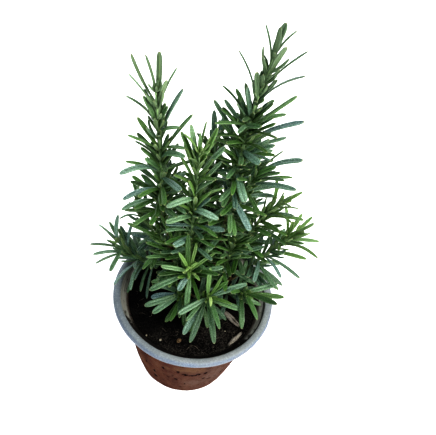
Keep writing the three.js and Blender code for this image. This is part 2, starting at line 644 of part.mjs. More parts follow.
const plant = new THREE.Group();
plant.add(buildPot(), buildSoil());
for (const [name, stem] of Object.entries(stems)) {
  plant.add(buildStem(name, stem));
}
for (const [name, leaves] of growLeaves()) {
  plant.add(buildShoot(name, shoots[name], leaves));
}
Object.entries(grains).forEach(([name, grain], order) => plant.add(buildGrain(name, grain, order)));
for (const [name, sliver] of Object.entries(slivers)) {
  plant.add(buildSliver(name, sliver));
}

export default plant;
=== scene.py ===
"""A rosemary plant in a clay pot with a glazed lip: its looks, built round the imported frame.

Everything is in the frame's own place, with the origin in the middle of the pot's foot and +Z up.
The layout and the sizes are in millimetres, as in the model, and new_object() turns them to metres.
"""

import math

import bmesh
import bpy
import numpy as np
from mathutils import Euler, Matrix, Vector, noise


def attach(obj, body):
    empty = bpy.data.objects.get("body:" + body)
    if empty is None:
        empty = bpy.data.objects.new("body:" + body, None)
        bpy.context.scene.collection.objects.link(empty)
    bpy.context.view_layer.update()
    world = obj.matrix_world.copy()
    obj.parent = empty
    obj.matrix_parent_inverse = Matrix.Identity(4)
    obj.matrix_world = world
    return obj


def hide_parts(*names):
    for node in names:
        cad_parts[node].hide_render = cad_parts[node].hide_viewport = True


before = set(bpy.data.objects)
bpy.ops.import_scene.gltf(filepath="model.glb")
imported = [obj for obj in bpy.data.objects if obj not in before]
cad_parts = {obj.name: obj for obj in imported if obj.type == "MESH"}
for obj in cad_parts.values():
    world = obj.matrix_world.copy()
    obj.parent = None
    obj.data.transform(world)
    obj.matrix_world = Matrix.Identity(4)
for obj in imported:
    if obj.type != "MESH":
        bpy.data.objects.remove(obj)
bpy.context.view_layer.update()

MM = 0.001
UP = np.array([0.0, 0.0, 1.0])

# ---------------------------------------------------------------- sizes, in millimetres

POT_HEIGHT = 94
FOOT_RADIUS = 39.5
NECK_RADIUS = 57
BULGE = 1
WALL = 4
FLOOR = 7
LIP_OUTER = 65
LIP_INNER = 58.5
LIP_DEPTH = 6.5
LIP_SQUARENESS = 0.72
LIP_MIDDLE = (LIP_OUTER + LIP_INNER) / 2
LIP_HALF = (LIP_OUTER - LIP_INNER) / 2
NECK = POT_HEIGHT - LIP_DEPTH
POT_SEGMENTS = 240
WALL_RINGS = 70
LIP_RINGS = 32
UNDER_LIP_RINGS = 14
INSIDE_RINGS = 8
DRAIN_SEGMENTS = 24
DRAIN_RADIUS = 4.5
DRAIN_CIRCLE = 18
DRAIN_COUNT = 3

SOIL_LEVEL = 85.5
SOIL_DISH = 1.5
SOIL_WAVE = 0.5
SOIL_AIR = 3
SOIL_SEGMENTS = 200
SOIL_RINGS = 80
# How far from the wall the soil's top, its sides, the crumbs and the fibres stay.
RIM_GAP = 0.4
SIDE_GAP = 0.7
CRUMB_GAP = 1.5
FIBRE_GAP = 5

LEAF_LENGTH = 29
LEAF_WIDTH = 4.4
YOUNG_LEAF_WIDTH = 3
LEAF_THICKNESS = 1
LEAF_BODY = 1.35
LEAF_ARCH = 0.12
LEAF_DROOP = 3
WIDE_ANGLE = 78
NARROW_ANGLE = 28
YOUNG_FROM = 0.8
TIP_LEAF_LENGTH = 20
NODE_SPACING = 10
LEAF_GAP = 0.5
LEAF_BEADS = 6
BEADS_FROM = 0.2
# How far along a leaf the parts of its own shoot may still touch it: this share, or all of it. A shoot's
# stem counts as the start of a leaf.
JOINED = 0.45
WHOLE = 2
OWN_STEM = 0.1
STEM_BEAD_STEP = 2.5
TURNS = (0, 9, -9, 18, -18, 30, -30, 42, -42)
TUFT_SPACING = 9
TUFT_LEAVES = 5
TUFT_GAP = 0.05
# (spread in degrees, length)
BUSHY_TUFT = (34, 13)
OPEN_TUFT = (25, 17)
BUD_LEAVES = 6
BUD_TURN = 137.5
# The layers of inner leaves: (spacing, where the first pair starts, size).
FILLING = ((NODE_SPACING, 0.5, 1), (7, 0.3, 0.95), (5, 0.7, 0.8))
FILLING_GAP = 0.1
FILLING_WILDNESS = 2.2
SEED = 7
CRUMBS = 1500
FIBRES = 90
FIBRE_SIDES = 5
SLIVER_THICKNESS = 1.5
SLIVER_COLUMNS = 30
SLIVER_ROWS = 26

# ---------------------------------------------------------------- the plant's layout

STEMS = {
    "stem_left": {
        "path": [(-12, 3, 66), (-15, 5, 92), (-19, 8, 119), (-25, 11, 143)], "radii": (2.2, 1.5),
    },
    "stem_centre": {"path": [(-3, -3, 66), (-4, -2, 94), (-6, 0, 122)], "radii": (2.1, 1.5)},
    "stem_right": {
        "path": [(10, 7, 66), (12, 9, 92), (12.5, 12, 119), (13.5, 15, 143)], "radii": (2.3, 1.5),
    },
    "stem_back": {"path": [(3, 17, 66), (2, 20, 96), (0, 26, 126)], "radii": (1.9, 1.3)},
    "stem_far_left": {"path": [(-17, 12, 66), (-22, 14, 86), (-30, 18, 104)], "radii": (1.8, 1.3)},
    "stem_far_right": {"path": [(18, 3, 66), (22, 6, 90), (27, 9, 110)], "radii": (1.8, 1.3)},
}

SHOOTS = {}


def add_shoot(name, filled, bushy, turn, path, radii=(1.1, 0.6), leaves=()):
    """Adds a shoot to the layout, with the single leaves that give the plant its outline.

    path goes from the stem to the growing tip. Each single leaf is (how far up the shoot it starts, x, y,
    z of its tip, how much it bows), some also with its turn about its own line in degrees, and its width.
    The others grow in pairs between the fractions in filled, with the first pair turned by turn degrees,
    and smaller ones fill the inside of the shoot up to the fraction bushy.
    """
    SHOOTS[name] = {
        "path": path, "filled": filled, "bushy": bushy, "turn": turn, "radii": radii, "leaves": leaves,
    }


add_shoot(
    "leader_left", filled=(0.2, 0.72), bushy=0.42, turn=20, radii=(1.4, 0.7),
    path=[(-25.4, 11.3, 144.5), (-34, 14, 178), (-36.5, 15, 214), (-40.5, 16, 250), (-44.5, 16, 286)],
    leaves=[
        (0.93, -62, 20, 309, 0.1, 195, 3.6), (0.95, -53, 20, 310, 0.1, 20, 3),
        (0.92, -45, 24, 311, 0.08, 180, 4), (0.87, -62, 14, 298, 0.08, 30, 3),
        (0.87, -33, 24, 301, 0.08, -30, 3), (0.84, -38, 14, 298, 0.1, -40, 3.6),
        (0.7, -64, 18, 276, 0.28, 25), (0.76, -52, 12, 284, 0.1, -35), (0.73, -28, 24, 285, 0.1),
        (0.77, -36, 16, 275, 0.1, 30), (0.63, -55, 12, 265, 0.08, -30, 4.2),
        (0.6, -20, 28, 261, 0.08, -15), (0.66, -26, 12, 262, 0.5), (0.58, -55, 14, 249, 0.12, -10),
        (0.56, -56, 14, 241, 0.15, 25), (0.53, -52, 14, 236, 0.12), (0.5, -47, 2, 238, 0.1, -40),
        (0.5, -64, 2, 219, 0.4, 0, 5), (0.38, -60, -4, 200, 0.3, 0, 5), (0.29, -61, -2, 186, 0.35, 0, 5),
        (0.57, -20, 3, 245, 0.4, 20, 4.8), (0.47, -20, -6, 221, 0.1, 0, 5.4), (0.5, -27, 22, 238, 0.1),
        (0.56, -34, 18, 249, 0.1), (0.42, -28, 26, 214, 0.1), (0.32, -23, 24, 209, 0.1),
        (0.26, -19, 22, 199, 0.12),
    ],
)
add_shoot(
    "leader_right", filled=(0.05, 0.68), bushy=0.78, turn=65, radii=(1.5, 0.7),
    path=[(13.9, 15.3, 144.5), (15, 22, 188), (17, 28, 232), (19.5, 30, 275), (25, 30, 316)],
    leaves=[
        (0.95, 28, 32, 341, 0.05, 0, 4.8), (0.93, 25, 28, 340, 0.05, 0, 4.4),
        (0.95, 16, 33, 337, 0.12, 25, 2.8), (0.93, 36, 40, 331, 0.17, -60, 2.8),
        (0.82, 31, 28, 327, 0.06, -40, 4.8), (0.84, 45, 34, 322, 0.06, -35, 3),
        (0.77, 3, 38, 311, 0.12, 35, 3), (0.74, 47, 30, 306, 0.19, -25, 3.6),
        (0.76, 16, 26, 306, 0.1, -80), (0.78, 19, 32, 303, 0.1, 0, 3), (0.74, 31, 40, 292, 0.1, 0, 3.4),
        (0.88, 19, 36, 312, 0.3, 55, 2), (0.63, -4, 37, 282, 0.18, 30), (0.66, 12, 28, 292, 0.1, -50),
        (0.52, -8, 40, 266, 0.04, 0, 4.8), (0.64, 8, 45, 269, 0.1), (0.62, 46, 38, 283, 0.05, -15, 4.4),
        (0.64, 31, 29, 281, 0.1, 25, 3.4), (0.64, 28, 34, 277, 0.1, 0, 3),
        (0.56, 54, 30, 269, 0.12, 0, 4.8), (0.5, 12, 44, 261, 0.1), (0.58, 33, 24, 273, 0.1, 5),
        (0.57, 35, 22, 270, 0.1), (0.6, 26, 16, 271, 0.5, 60), (0.46, 38, 22, 251, 0.2, 20),
        (0.52, 30, 10, 243, 0.2, 45, 5.4), (0.4, 25, 4, 209, 0.2, 20, 6.2), (0.47, 34, 30, 248, 0.1),
        (0.44, 0, 34, 245, 0.1), (0.28, 36, 4, 182, 0.15, 15, 5.6), (0.42, 40, 26, 233, 0.1),
        (0.38, 41, 22, 231, 0.12), (0.34, 43, 22, 226, 0.1), (0.31, 40, 24, 216, 0.12),
        (0.27, 37, 24, 204, 0.1),
    ],
)
add_shoot(
    "leader_centre", filled=(0.04, 0.96), bushy=0.5, turn=40, radii=(1.4, 0.7),
    path=[(-6.2, 0.4, 123.5), (-8.5, 4.5, 158), (-10, 8, 203), (-11.5, 8, 247)],
    leaves=[
        (0.86, -20, 15, 264, 0.06, 0, 4.6), (0.83, -26, 15, 256, 0.08), (0.9, -13, 12, 261, 0.05, 0, 2.6),
        (0.9, -10, 16, 268, 0.05, -60, 2.6), (0.86, -6, 12, 258, 0.1, -50, 2.6),
        (0.85, -2, 18, 262, 0.08), (0.77, 5, 18, 246, 0.1), (0.69, -24, 8, 240, 0.1),
        (0.62, 1, 0, 230, 0.25, 30, 3.6), (0.6, -16, 0, 226, 0.1, -60, 3.4),
        (0.53, 0, 3, 215, 0.15, 40, 3.6), (0.64, -29, -8, 204, 0.5, -20, 5), (0.5, 1, 2, 210, 0.15, 40),
        (0.55, 9, -6, 198, 0.6, 35, 5.2), (0.43, 15, -4, 185, 0.15, 20, 5),
        (0.52, -28, -10, 190, 0.3, -20, 5), (0.36, -20, -18, 175, 0.15, -20, 5.4),
    ],
)
add_shoot(
    "leader_back", filled=(0.04, 0.98), bushy=0.6, turn=10, radii=(1.2, 0.6),
    path=[(0, 26.4, 127.5), (-1, 33, 160), (-1, 38, 192), (-2, 41, 224)],
    leaves=[
        (0.9, -7, 56, 243, 0.1), (0.92, 2, 49, 246, 0.1), (0.7, -11, 32, 217, 0.12),
        (0.66, 11, 36, 216, 0.12),
    ],
)
add_shoot(
    "shoot_low_left", filled=(0.1, 0.95), bushy=0.3, turn=30, radii=(1.2, 0.6),
    path=[(-31, 16, 106), (-46, 14, 108), (-57, 13, 118), (-65, 12, 131)],
    leaves=[
        (0.9, -81, 12, 148, 0.05, 30, 3), (0.87, -67, 19, 155, 0.33, 0, 4.2), (0.4, -66, 23, 137, 0.1),
        (0.7, -85, 0, 137, 0.12, 15, 3.6), (0.6, -83, 1, 123, 0.15, 10, 3.6), (0.8, -68, -6, 114, 0.1),
        (0.3, -63, -14, 108, 0.2, 0, 5.6), (0.3, -50, -12, 101, 0.25, 0, 4.8), (0.35, -60, 33, 112, 0.1),
    ],
)
add_shoot(
    "shoot_left_back", filled=(0.1, 0.35), bushy=0.4, turn=80,
    path=[(-31, 21, 106), (-37, 28, 124), (-47, 31, 137), (-54, 33, 158)],
    leaves=[
        (0.66, -56, 25, 156, 0.1, 0, 3), (0.68, -51, 26, 157, 0.1, 0, 2.6),
        (0.65, -45, 26, 158, 0.1, 0, 3), (0.7, -66, 19, 150, 0.3, 30, 2.6), (0.34, -50, 18, 124, 0.12),
        (0.95, -60, 38, 174, 0.1, 0, 3.2), (0.97, -55, 36, 176, 0.1, 0, 3),
    ],
)
add_shoot(
    "shoot_front", filled=(0.1, 0.7), bushy=0.4, turn=15,
    path=[(-5, -3, 116), (-5, -9, 133), (-6, -17, 146)],
    leaves=[
        (1, -11, -6, 177, 0.1, 0, 4), (1, -4, 0, 161, 0.1, 0, 3), (1, -16, -15, 165, 0.1, 0, 3),
        (0.95, 11, -4, 157, 0.1, 0, 3), (0.95, -27, -25, 158, 0.12, 0, 4),
        (0.7, 19, -9, 148, 0.12, 0, 4.4), (0.98, -9, -25, 156, 0.6, 0, 2.4),
        (0.98, -1, -13, 154, 0.4, 0, 2.2), (0.98, -5, -27, 152, 0.3, 0, 2.6),
        (0.9, 3, -24, 147, 0.2, 0, 2.4), (0.85, -33, -33, 137, 0.15, 0, 4.8),
        (0.6, -12, -26, 132, 0.4, 0, 5.2), (0.7, -4, -33, 121, 0.3, 0, 4.8),
    ],
)
add_shoot(
    "shoot_low_front", filled=(0.1, 0.7), bushy=0.4, turn=50,
    path=[(2, -6, 98), (8, -15, 112), (11, -24, 126)],
    leaves=[
        (1, 9, -12, 149, 0.1, 0, 4), (1, 19, -17, 148, 0.1, 0, 2.4), (0.95, -9, -43, 127, 0.12, 0, 4.8),
        (0.75, 3, -52, 104, 0.15, 0, 4.8), (0.9, 21, -58, 118, 0.15, 0, 4.8),
        (0.7, -3, -46, 104, 0.12, 0, 5.4), (1, 29, -34, 138, 0.15, 0, 3), (1, 14, -36, 133, 0.5, 0, 2.8),
        (0.95, 23, -51, 128, 0.2, 0, 4), (0.9, 39, -12, 136, 0.1, 0, 4.8),
        (0.75, 38, -27, 122, 0.15, 0, 5),
    ],
)
add_shoot(
    "shoot_low_right_front", filled=(0.1, 0.8), bushy=0.25, turn=0,
    path=[(22, 2, 98), (33, -7, 116), (38, -16, 129)],
    leaves=[
        (0.93, 69, -14, 129, 0.1, 0, 4.2), (0.95, 63, -27, 137, 0.1), (0.9, 50, -39, 130, 0.25, 0, 4.2),
        (0.76, 44, -41, 118, 0.2, 0, 4.6), (0.7, 35, -14, 145, 0.1), (0.9, 62, -8, 137, 0.2),
    ],
)
add_shoot(
    "shoot_low_left_front", filled=(0.1, 0.8), bushy=0.3, turn=70,
    path=[(-8, -4, 98), (-9, -11, 108), (-10, -18, 116)],
    leaves=[
        (0.95, -36, -31, 112, 0.15, 0, 5), (0.8, -33, -17, 104, 0.15, 0, 5),
        (0.9, -29, -34, 108, 0.15, 0, 5.2), (0.85, -31, -9, 118, 0.15, 0, 4.8),
    ],
)
add_shoot(
    "shoot_right", filled=(0.1, 0.95), bushy=0.4, turn=45,
    path=[(26, 13, 118), (33, 20, 150), (41, 22, 175), (51, 22, 194)],
    leaves=[
        (0.93, 58, 18, 209, 0.05, 40, 3.2), (0.9, 52, 21, 208, 0.05, -40, 2.6),
        (0.85, 64, 12, 203, 0.1, -15, 3), (0.7, 63, 14, 192, 0.15), (0.66, 71, 16, 187, 0.15, -15),
        (0.5, 49, 5, 176, 0.2, 30), (0.6, 54, 5, 182, 0.2, 30), (0.45, 62, 4, 169, 0.3),
        (0.5, 41, 27, 195, 0.1, 60, 2.4),
    ],
)
add_shoot(
    "shoot_low_right", filled=(0.1, 0.95), bushy=0.3, turn=75,
    path=[(30, 9, 112), (47, 12, 139), (57, 13, 156), (68, 14, 174)],
    leaves=[
        (0.95, 78, 11, 191, 0.05, 30, 3.4), (0.88, 75, 7, 183, 0.08, 30, 3),
        (0.75, 74, 3, 176, 0.08, 15, 3.6), (0.65, 86, -3, 169, 0.3, -10), (0.5, 62, 3, 160, 0.15, 20),
        (0.4, 77, -8, 148, 0.1, -15, 4.6), (0.27, 64, -14, 138, 0.1, 0, 4.6), (0.3, 43, -12, 139, 0.15),
        (0.34, 62, -3, 163, 0.1),
    ],
)
add_shoot(
    "shoot_high_right", filled=(0.15, 0.6), bushy=0.2, turn=30, radii=(1, 0.6),
    path=[(18, 23, 184), (23, 21, 202), (27.5, 19, 216), (31, 17, 229)],
    leaves=[
        (0.8, 44, 21, 248, 0.1, -60, 2.8), (0.95, 57, 9, 254, 0.15, 0, 5.2), (0.7, 41, 12, 241, 0.2, 40),
        (0.6, 44, 4, 244, 0.1, 15), (0.6, 48, 5, 236, 0.15), (0.55, 58, 7, 227, 0.12, 0, 5.2),
    ],
)
add_shoot(
    "shoot_back_left", filled=(0.12, 0.98), bushy=0.8, turn=25, radii=(1.2, 0.6),
    path=[(-18, 16, 112), (-26, 32, 130), (-32, 46, 152)],
    leaves=[
        (0.98, -28, 50, 186, 0.1), (0.95, -33, 44, 184, 0.1), (0.9, -21, 48, 183, 0.1),
    ],
)
add_shoot(
    "shoot_back_right", filled=(0.12, 0.98), bushy=0.8, turn=60, radii=(1.2, 0.6),
    path=[(8, 24, 112), (18, 40, 134), (24, 52, 160)],
)
add_shoot(
    "shoot_back_low", filled=(0.15, 0.98), bushy=0.6, turn=85, radii=(1.2, 0.6),
    path=[(1, 26, 104), (-3, 44, 112), (-6, 60, 128)],
)
add_shoot(
    "shoot_inner_left", filled=(0.12, 0.9), bushy=0.9, turn=35,
    path=[(-17, 5, 116), (-17, -1, 136), (-20, 0, 158)],
)
add_shoot(
    "shoot_inner_right", filled=(0.12, 0.9), bushy=0.9, turn=65,
    path=[(15.5, 8.5, 116), (21, 5, 138), (24, 7, 160)],
)
add_shoot(
    "shoot_left", filled=(0.3, 0.9), bushy=0.7, turn=60,
    path=[(-24, 12, 130), (-29, 10, 141), (-33, 9, 154)],
)

# Grains on the soil: (x, y, radius).
GRAINS = {
    "perlite_left": (-25, -14, 1),
    "perlite_front": (-20, -43, 1.1),
    "perlite_edge": (-31.5, -40.5, 0.8),
    "perlite_right": (29.5, -25.5, 0.6),
    "bark_crumb": (-5.5, -41, 2.2),
}
# Slivers of wood: both ends, width, lean in degrees, how much darker, and how deep the split at one end.
SLIVERS = {
    "wood_chip_upper": {"ends": ((25, -6), (41, -20)), "width": 4.6, "lean": 8, "shade": 0, "split": 2.4},
    "wood_chip_lower": {
        "ends": ((43, -24.5), (33, -38.5)), "width": 3.4, "lean": -6, "shade": -0.1, "split": 0,
    },
}
# The one root that shows: (x, y, height over the soil).
ROOT = [
    (1.5, -47.5, 0.6), (3, -45, 1.2), (5.2, -43.4, 1.5), (7.8, -43.2, 1.3), (10, -44.6, 0.8),
    (11.5, -46, 0.3),
]


# ---------------------------------------------------------------- camera and lights, in metres

CAMERA = {"place": (0, -0.3461, 0.6002), "degrees": (39.906, -6.719, 6.609), "lens": 61.9, "sensor": 36}
# Place, target, diameter, power and colour of each softbox.
SOFTBOXES = {
    "key": ((0.7, -0.4, 0.9), (0, 0, 0.15), 0.9, 16, (1, 0.98, 0.94)),
    "fill": ((-0.3, -0.75, 1.15), (0, 0, 0.15), 0.9, 9, (0.88, 0.95, 1)),
    "back": ((-0.6, 1, 0.6), (0, 0, 0.18), 0.8, 9, (0.9, 0.96, 1)),
}
ROOM = 10
ROOM_SIDES = 48


def link(name, data):
    thing = bpy.data.objects.new(name, data)
    bpy.context.scene.collection.objects.link(thing)
    return thing


def add_camera():
    data = bpy.data.cameras.new("photo_camera")
    data.sensor_width = CAMERA["sensor"]
    data.lens = CAMERA["lens"]
    data.clip_start = 0.01
    camera = link("photo_camera", data)
    camera.location = CAMERA["place"]
    camera.rotation_euler = Euler([math.radians(a) for a in CAMERA["degrees"]])
    bpy.context.scene.camera = camera


def add_softbox(name, place, target, size, power, colour):
    data = bpy.data.lights.new(name, "AREA")
    data.shape = "DISK"
    data.size = size
    data.energy = power
    data.color = colour
    light = link(name, data)
    light.location = place
    light.visible_camera = False
    aim = Vector(target) - Vector(place)
    light.rotation_euler = aim.to_track_quat("-Z", "Y").to_euler()


def add_studio():
    scene = bpy.context.scene
    scene.view_settings.view_transform = "Standard"
    scene.view_settings.look = "Very High Contrast"
    scene.world = bpy.data.worlds.new("studio")
    scene.world.use_nodes = True
    background = scene.world.node_tree.nodes["Background"]
    background.inputs["Color"].default_value = (0.97, 0.985, 1, 1)
    background.inputs["Strength"].default_value = 0.22
    for name, softbox in SOFTBOXES.items():
        add_softbox(name, *softbox)
    half = ROOM / MM
    corners = [(-half, -half, 0), (half, -half, 0), (half, half, 0), (-half, half, 0)]
    new_object("floor", corners, [(0, 1, 2, 3)], [floor_material()])
    walls = circle(half, 0, ROOM_SIDES) + circle(half, half, ROOM_SIDES)
    backdrop = new_object("backdrop", walls, grid_faces(2, ROOM_SIDES), [backdrop_material()])
    for kind in ("diffuse", "glossy", "transmission", "shadow"):
        setattr(backdrop, "visible_" + kind, False)


# ---------------------------------------------------------------- materials

# What a leaf's points carry: three that say where on the leaf they are, and four the same all over it.
LEAF_LOOKS = ("along", "across", "under", "tone", "youth", "bloom_and_sheen", "ashen")


def rgb(code):
    """A colour written as on a screen, such as 5a7f4a, as Blender's linear one."""
    values = [int(code[i:i + 2], 16) / 255 for i in (0, 2, 4)]
    return (*[v / 12.92 if v < 0.04045 else ((v + 0.055) / 1.055) ** 2.4 for v in values], 1)


class Nodes:
    """A material and short calls that add nodes to it. Each call gives back an output socket."""

    def __init__(self, name, **constants):
        self.material = bpy.data.materials.new(name)
        self.material.use_nodes = True
        self.tree = self.material.node_tree
        self.shader = self.tree.nodes["Principled BSDF"]
        for socket, value in constants.items():
            self.shader.inputs[socket.replace("_", " ")].default_value = value
        self.place = self.add("ShaderNodeTexCoord", {}).outputs["Object"]
        self.x, self.y, self.z = self.add("ShaderNodeSeparateXYZ", {0: self.place}).outputs

    def feed(self, socket, value):
        """Links an input to a socket, or sets it to a number, a vector or a colour such as 5a7f4a."""
        if isinstance(value, bpy.types.NodeSocket):
            self.tree.links.new(value, socket)
        else:
            socket.default_value = rgb(value) if isinstance(value, str) else value

    def add(self, kind, inputs, **settings):
        node = self.tree.nodes.new(kind)
        for key, value in settings.items():
            setattr(node, key, value)
        for key, value in inputs.items():
            self.feed(node.inputs[key], value)
        return node

    def attribute(self, name):
        return self.add("ShaderNodeAttribute", {}, attribute_name=name).outputs["Fac"]

    def scaled(self, scale):
        """The inputs of a texture with one scale, or with one for each direction."""
        if isinstance(scale, tuple):
            mapping = self.add("ShaderNodeMapping", {"Vector": self.place, "Scale": scale})
            return {"Vector": mapping.outputs["Vector"], "Scale": 1}
        return {"Vector": self.place, "Scale": scale}

    def noise(self, scale, detail=3.0, roughness=0.55, **others):
        inputs = {**self.scaled(scale), "Detail": detail, "Roughness": roughness, **others}
        return self.add("ShaderNodeTexNoise", inputs).outputs["Fac"]

    def cells(self, scale, feature="F1"):
        return self.add("ShaderNodeTexVoronoi", self.scaled(scale), feature=feature).outputs["Distance"]

    def plus(self, a, b):
        return self.add("ShaderNodeMath", {0: a, 1: b}, operation="ADD").outputs[0]

    def times(self, a, b):
        return self.add("ShaderNodeMath", {0: a, 1: b}, operation="MULTIPLY").outputs[0]

    def between(self, value, low, high, start=0.0, end=1.0):
        """value, taken from low..high to start..end and held there."""
        inputs = {"Value": value, "From Min": low, "From Max": high, "To Min": start, "To Max": end}
        return self.add("ShaderNodeMapRange", inputs).outputs["Result"]

    def ramp(self, value, *stops):
        node = self.add("ShaderNodeValToRGB", {"Fac": value})
        elements = node.color_ramp.elements
        while len(elements) < len(stops):
            elements.new(0.5)
        for element, (position, code) in zip(elements, stops):
            element.position = position
            element.color = rgb(code)
        return node.outputs["Color"]

    def mix(self, factor, a, b):
        node = self.add("ShaderNodeMix", {"Factor": factor}, data_type="RGBA")
        for socket, value in zip([s for s in node.inputs if s.type == "RGBA"], (a, b)):
            self.feed(socket, value)
        return [s for s in node.outputs if s.type == "RGBA"][0]

    def layers(self, colour, *tops):
        """A colour with others laid over it: each top is its colour and what between() takes."""
        for top, *amount in tops:
            colour = self.mix(self.between(*amount), colour, top)
        return colour

    def bump(self, height, strength, distance):
        inputs = {"Height": height, "Strength": strength, "Distance": distance}
        return self.add("ShaderNodeBump", inputs).outputs["Normal"]

    def finish(self, colour, roughness, normal=None):
        self.feed(self.shader.inputs["Base Color"], colour)
        self.feed(self.shader.inputs["Roughness"], roughness)
        if normal:
            self.feed(self.shader.inputs["Normal"], normal)
        return self.material


def floor_material():
    """Pale, and brighter further out, where the softboxes don't reach."""
    n = Nodes("floor", Specular_IOR_Level=0.2, Emission_Color=(1, 1, 1, 1))
    away = n.add("ShaderNodeVectorMath", {0: n.place}, operation="LENGTH").outputs["Value"]
    n.feed(n.shader.inputs["Emission Strength"], n.between(away, 0.5, 1.8, 0.25, 0.8))
    return n.finish(n.ramp(n.noise(40, 4), (0, "f2f2f2"), (1, "f6f6f6")), 0.8)


def backdrop_material():
    """The white round wall behind the floor. It only closes the view, and gives no light."""
    n = Nodes("backdrop", Specular_IOR_Level=0.0, Emission_Color=(1, 1, 1, 1), Emission_Strength=0.9)
    return n.finish(n.ramp(n.noise(1), (0, "f2f2f2"), (1, "f6f6f6")), 1.0)


def leaf_material():
    """Glossy above and felted grey below, with a grey-blue bloom that carries painted sheen. How each leaf
    looks comes with the mesh.
    """
    n = Nodes("leaf", Specular_IOR_Level=0.4)
    along, across, under, tone, youth, bloom_and_sheen, ashen = map(n.attribute, LEAF_LOOKS)
    speckle = n.noise(1500, 2, 0.8)
    fine = n.noise(1000, 3, 0.7)
    upper = n.layers(
        "1a340b",
        ("4a6a36", n.plus(n.times(n.noise(90), 0.6), tone), 0.2, 1.3),
        # Yellow-green towards the base: partly the leaf's own colour, partly painted light shining through
        # the leaves.
        ("435c1a", along, 0.05, 0.5, 0.6, 0),
    )
    # Grey-blue bloom with painted sheen: its pale speckles are painted glints of light.
    grey_sheen = n.layers(n.mix(tone, "587074", "61776a"), ("9badad", speckle, 0.5, 0.66))
    upper = n.layers(
        n.mix(n.times(bloom_and_sheen, n.between(fine, 0.3, 0.6, 0.45, 1)), upper, grey_sheen),
        ("6f8a4e", youth, 0, 0.8, 0, 0.85),
        ("a0b47c", youth, 0.8, 1, 0, 0.8),
        ("1a310e", across, 0, 0.11, 0.65, 0),
        # Painted highlight: a paler band near the margins, where the rolled edges catch the light.
        ("748a5e", across, 0.65, 0.88, 0, 0.15),
        # Painted shade: a dark rim at the very edge, so leaves seen edge-on look dark.
        ("37442f", across, 0.9, 1, 0, 0.85),
        # Painted glints: pale speckles over the upper face.
        ("a9b8a4", speckle, 0.56, 0.72, 0, 0.35),
    )
    lower = n.mix(youth, n.mix(tone, "55664a", "7f8f74"), "7f9468")
    lower = n.layers(lower, ("6d8048", across, 0.1, 0.3, 0.8, 0))
    colour = n.layers(
        n.mix(under, upper, lower),
        (n.mix(tone, "52634c", "6f8068"), ashen, 0, 0.5, 0, 0.75),
        ("9aab7c", along, 0, 0.1, 0.7, 0),
        ("8b8560", along, 0.965, 1, 0, 0.6),
    )
    normal = n.bump(n.plus(n.cells(1500), fine), 0.5, 0.0004)
    return n.finish(colour, n.between(n.noise(500), 0.3, 0.7, 0.34, 0.5), normal)


def shoot_material():
    """The shoots' stems: brown and woody low down, green above."""
    n = Nodes("green_stem", Specular_IOR_Level=0.4, Sheen_Weight=0.2)
    streaks = n.noise((500, 500, 90), 4)
    young = n.mix(streaks, "5f7b4c", "8ba279")
    old = n.mix(streaks, "46311f", "77603f")
    colour = n.layers(old, (young, n.attribute("along"), 0.15, 0.6))
    return n.finish(colour, 0.6, n.bump(streaks, 0.5, 0.0003))


def bark_material():
    n = Nodes("bark", Specular_IOR_Level=0.3)
    streaks = n.noise((700, 700, 120), 6, 0.7)
    flakes = n.cells((420, 420, 110))
    colour = n.ramp(streaks, (0.25, "2a2019"), (0.5, "5a4a38"), (0.75, "83735c"))
    colour = n.layers(colour, ("1f1712", flakes, 0.1, 0.5, 0.5, 0))
    return n.finish(colour, 0.85, n.bump(n.plus(streaks, flakes), 0.8, 0.0008))


def clay_material():
    """The pot's bare clay: mottled, stained and pitted, with the pits' shade painted near-black and the
    right side paler, partly painted light. The pits, stains and wear come with the mesh.
    """
    n = Nodes("clay", Specular_IOR_Level=0.06)
    shaded_pit, stain, worn = map(n.attribute, ("shaded_pit", "stain", "worn"))
    mottle = n.noise((60, 60, 42), 6, 0.65)
    fine = n.noise((400, 400, 330), 5, 0.7)
    blots = n.noise((230, 230, 200), 4, 0.6, Distortion=0.3)
    broken = n.noise((700, 700, 500), 5, 0.75)
    colour = n.layers(
        n.ramp(mottle, (0.32, "3e2016"), (0.48, "512e20"), (0.66, "634433")),
        ("6d574d", fine, 0.5, 0.72, 0, 0.5),
        # Paler and greyer towards the right: partly the clay's own colour, partly painted light from the
        # right.
        ("574742", n.x, -0.03, 0.015, 0, 0.45),
    )
    colour = n.mix(n.times(worn, n.between(fine, 0.3, 0.6, 0.3, 0.85)), colour, "635149")
    colour = n.mix(n.times(stain, n.between(mottle, 0.3, 0.6, 0.3, 0.65)), colour, "6b5440")
    colour = n.layers(
        colour,
        ("371b11", fine, 0.3, 0.44, 0.45, 0),
        ("25130d", blots, 0.6, 0.68, 0, 0.6),
        # Painted shade: the pits are painted near-black.
        ("0d0806", n.plus(shaded_pit, n.plus(broken, fine)), 1.48, 1.68),
    )
    relief = n.plus(n.plus(n.times(mottle, 0.6), fine), n.between(blots, 0.57, 0.66, 0, -0.5))
    return n.finish(colour, n.between(fine, 0.3, 0.7, 0.75, 0.95), n.bump(relief, 0.9, 0.0012))


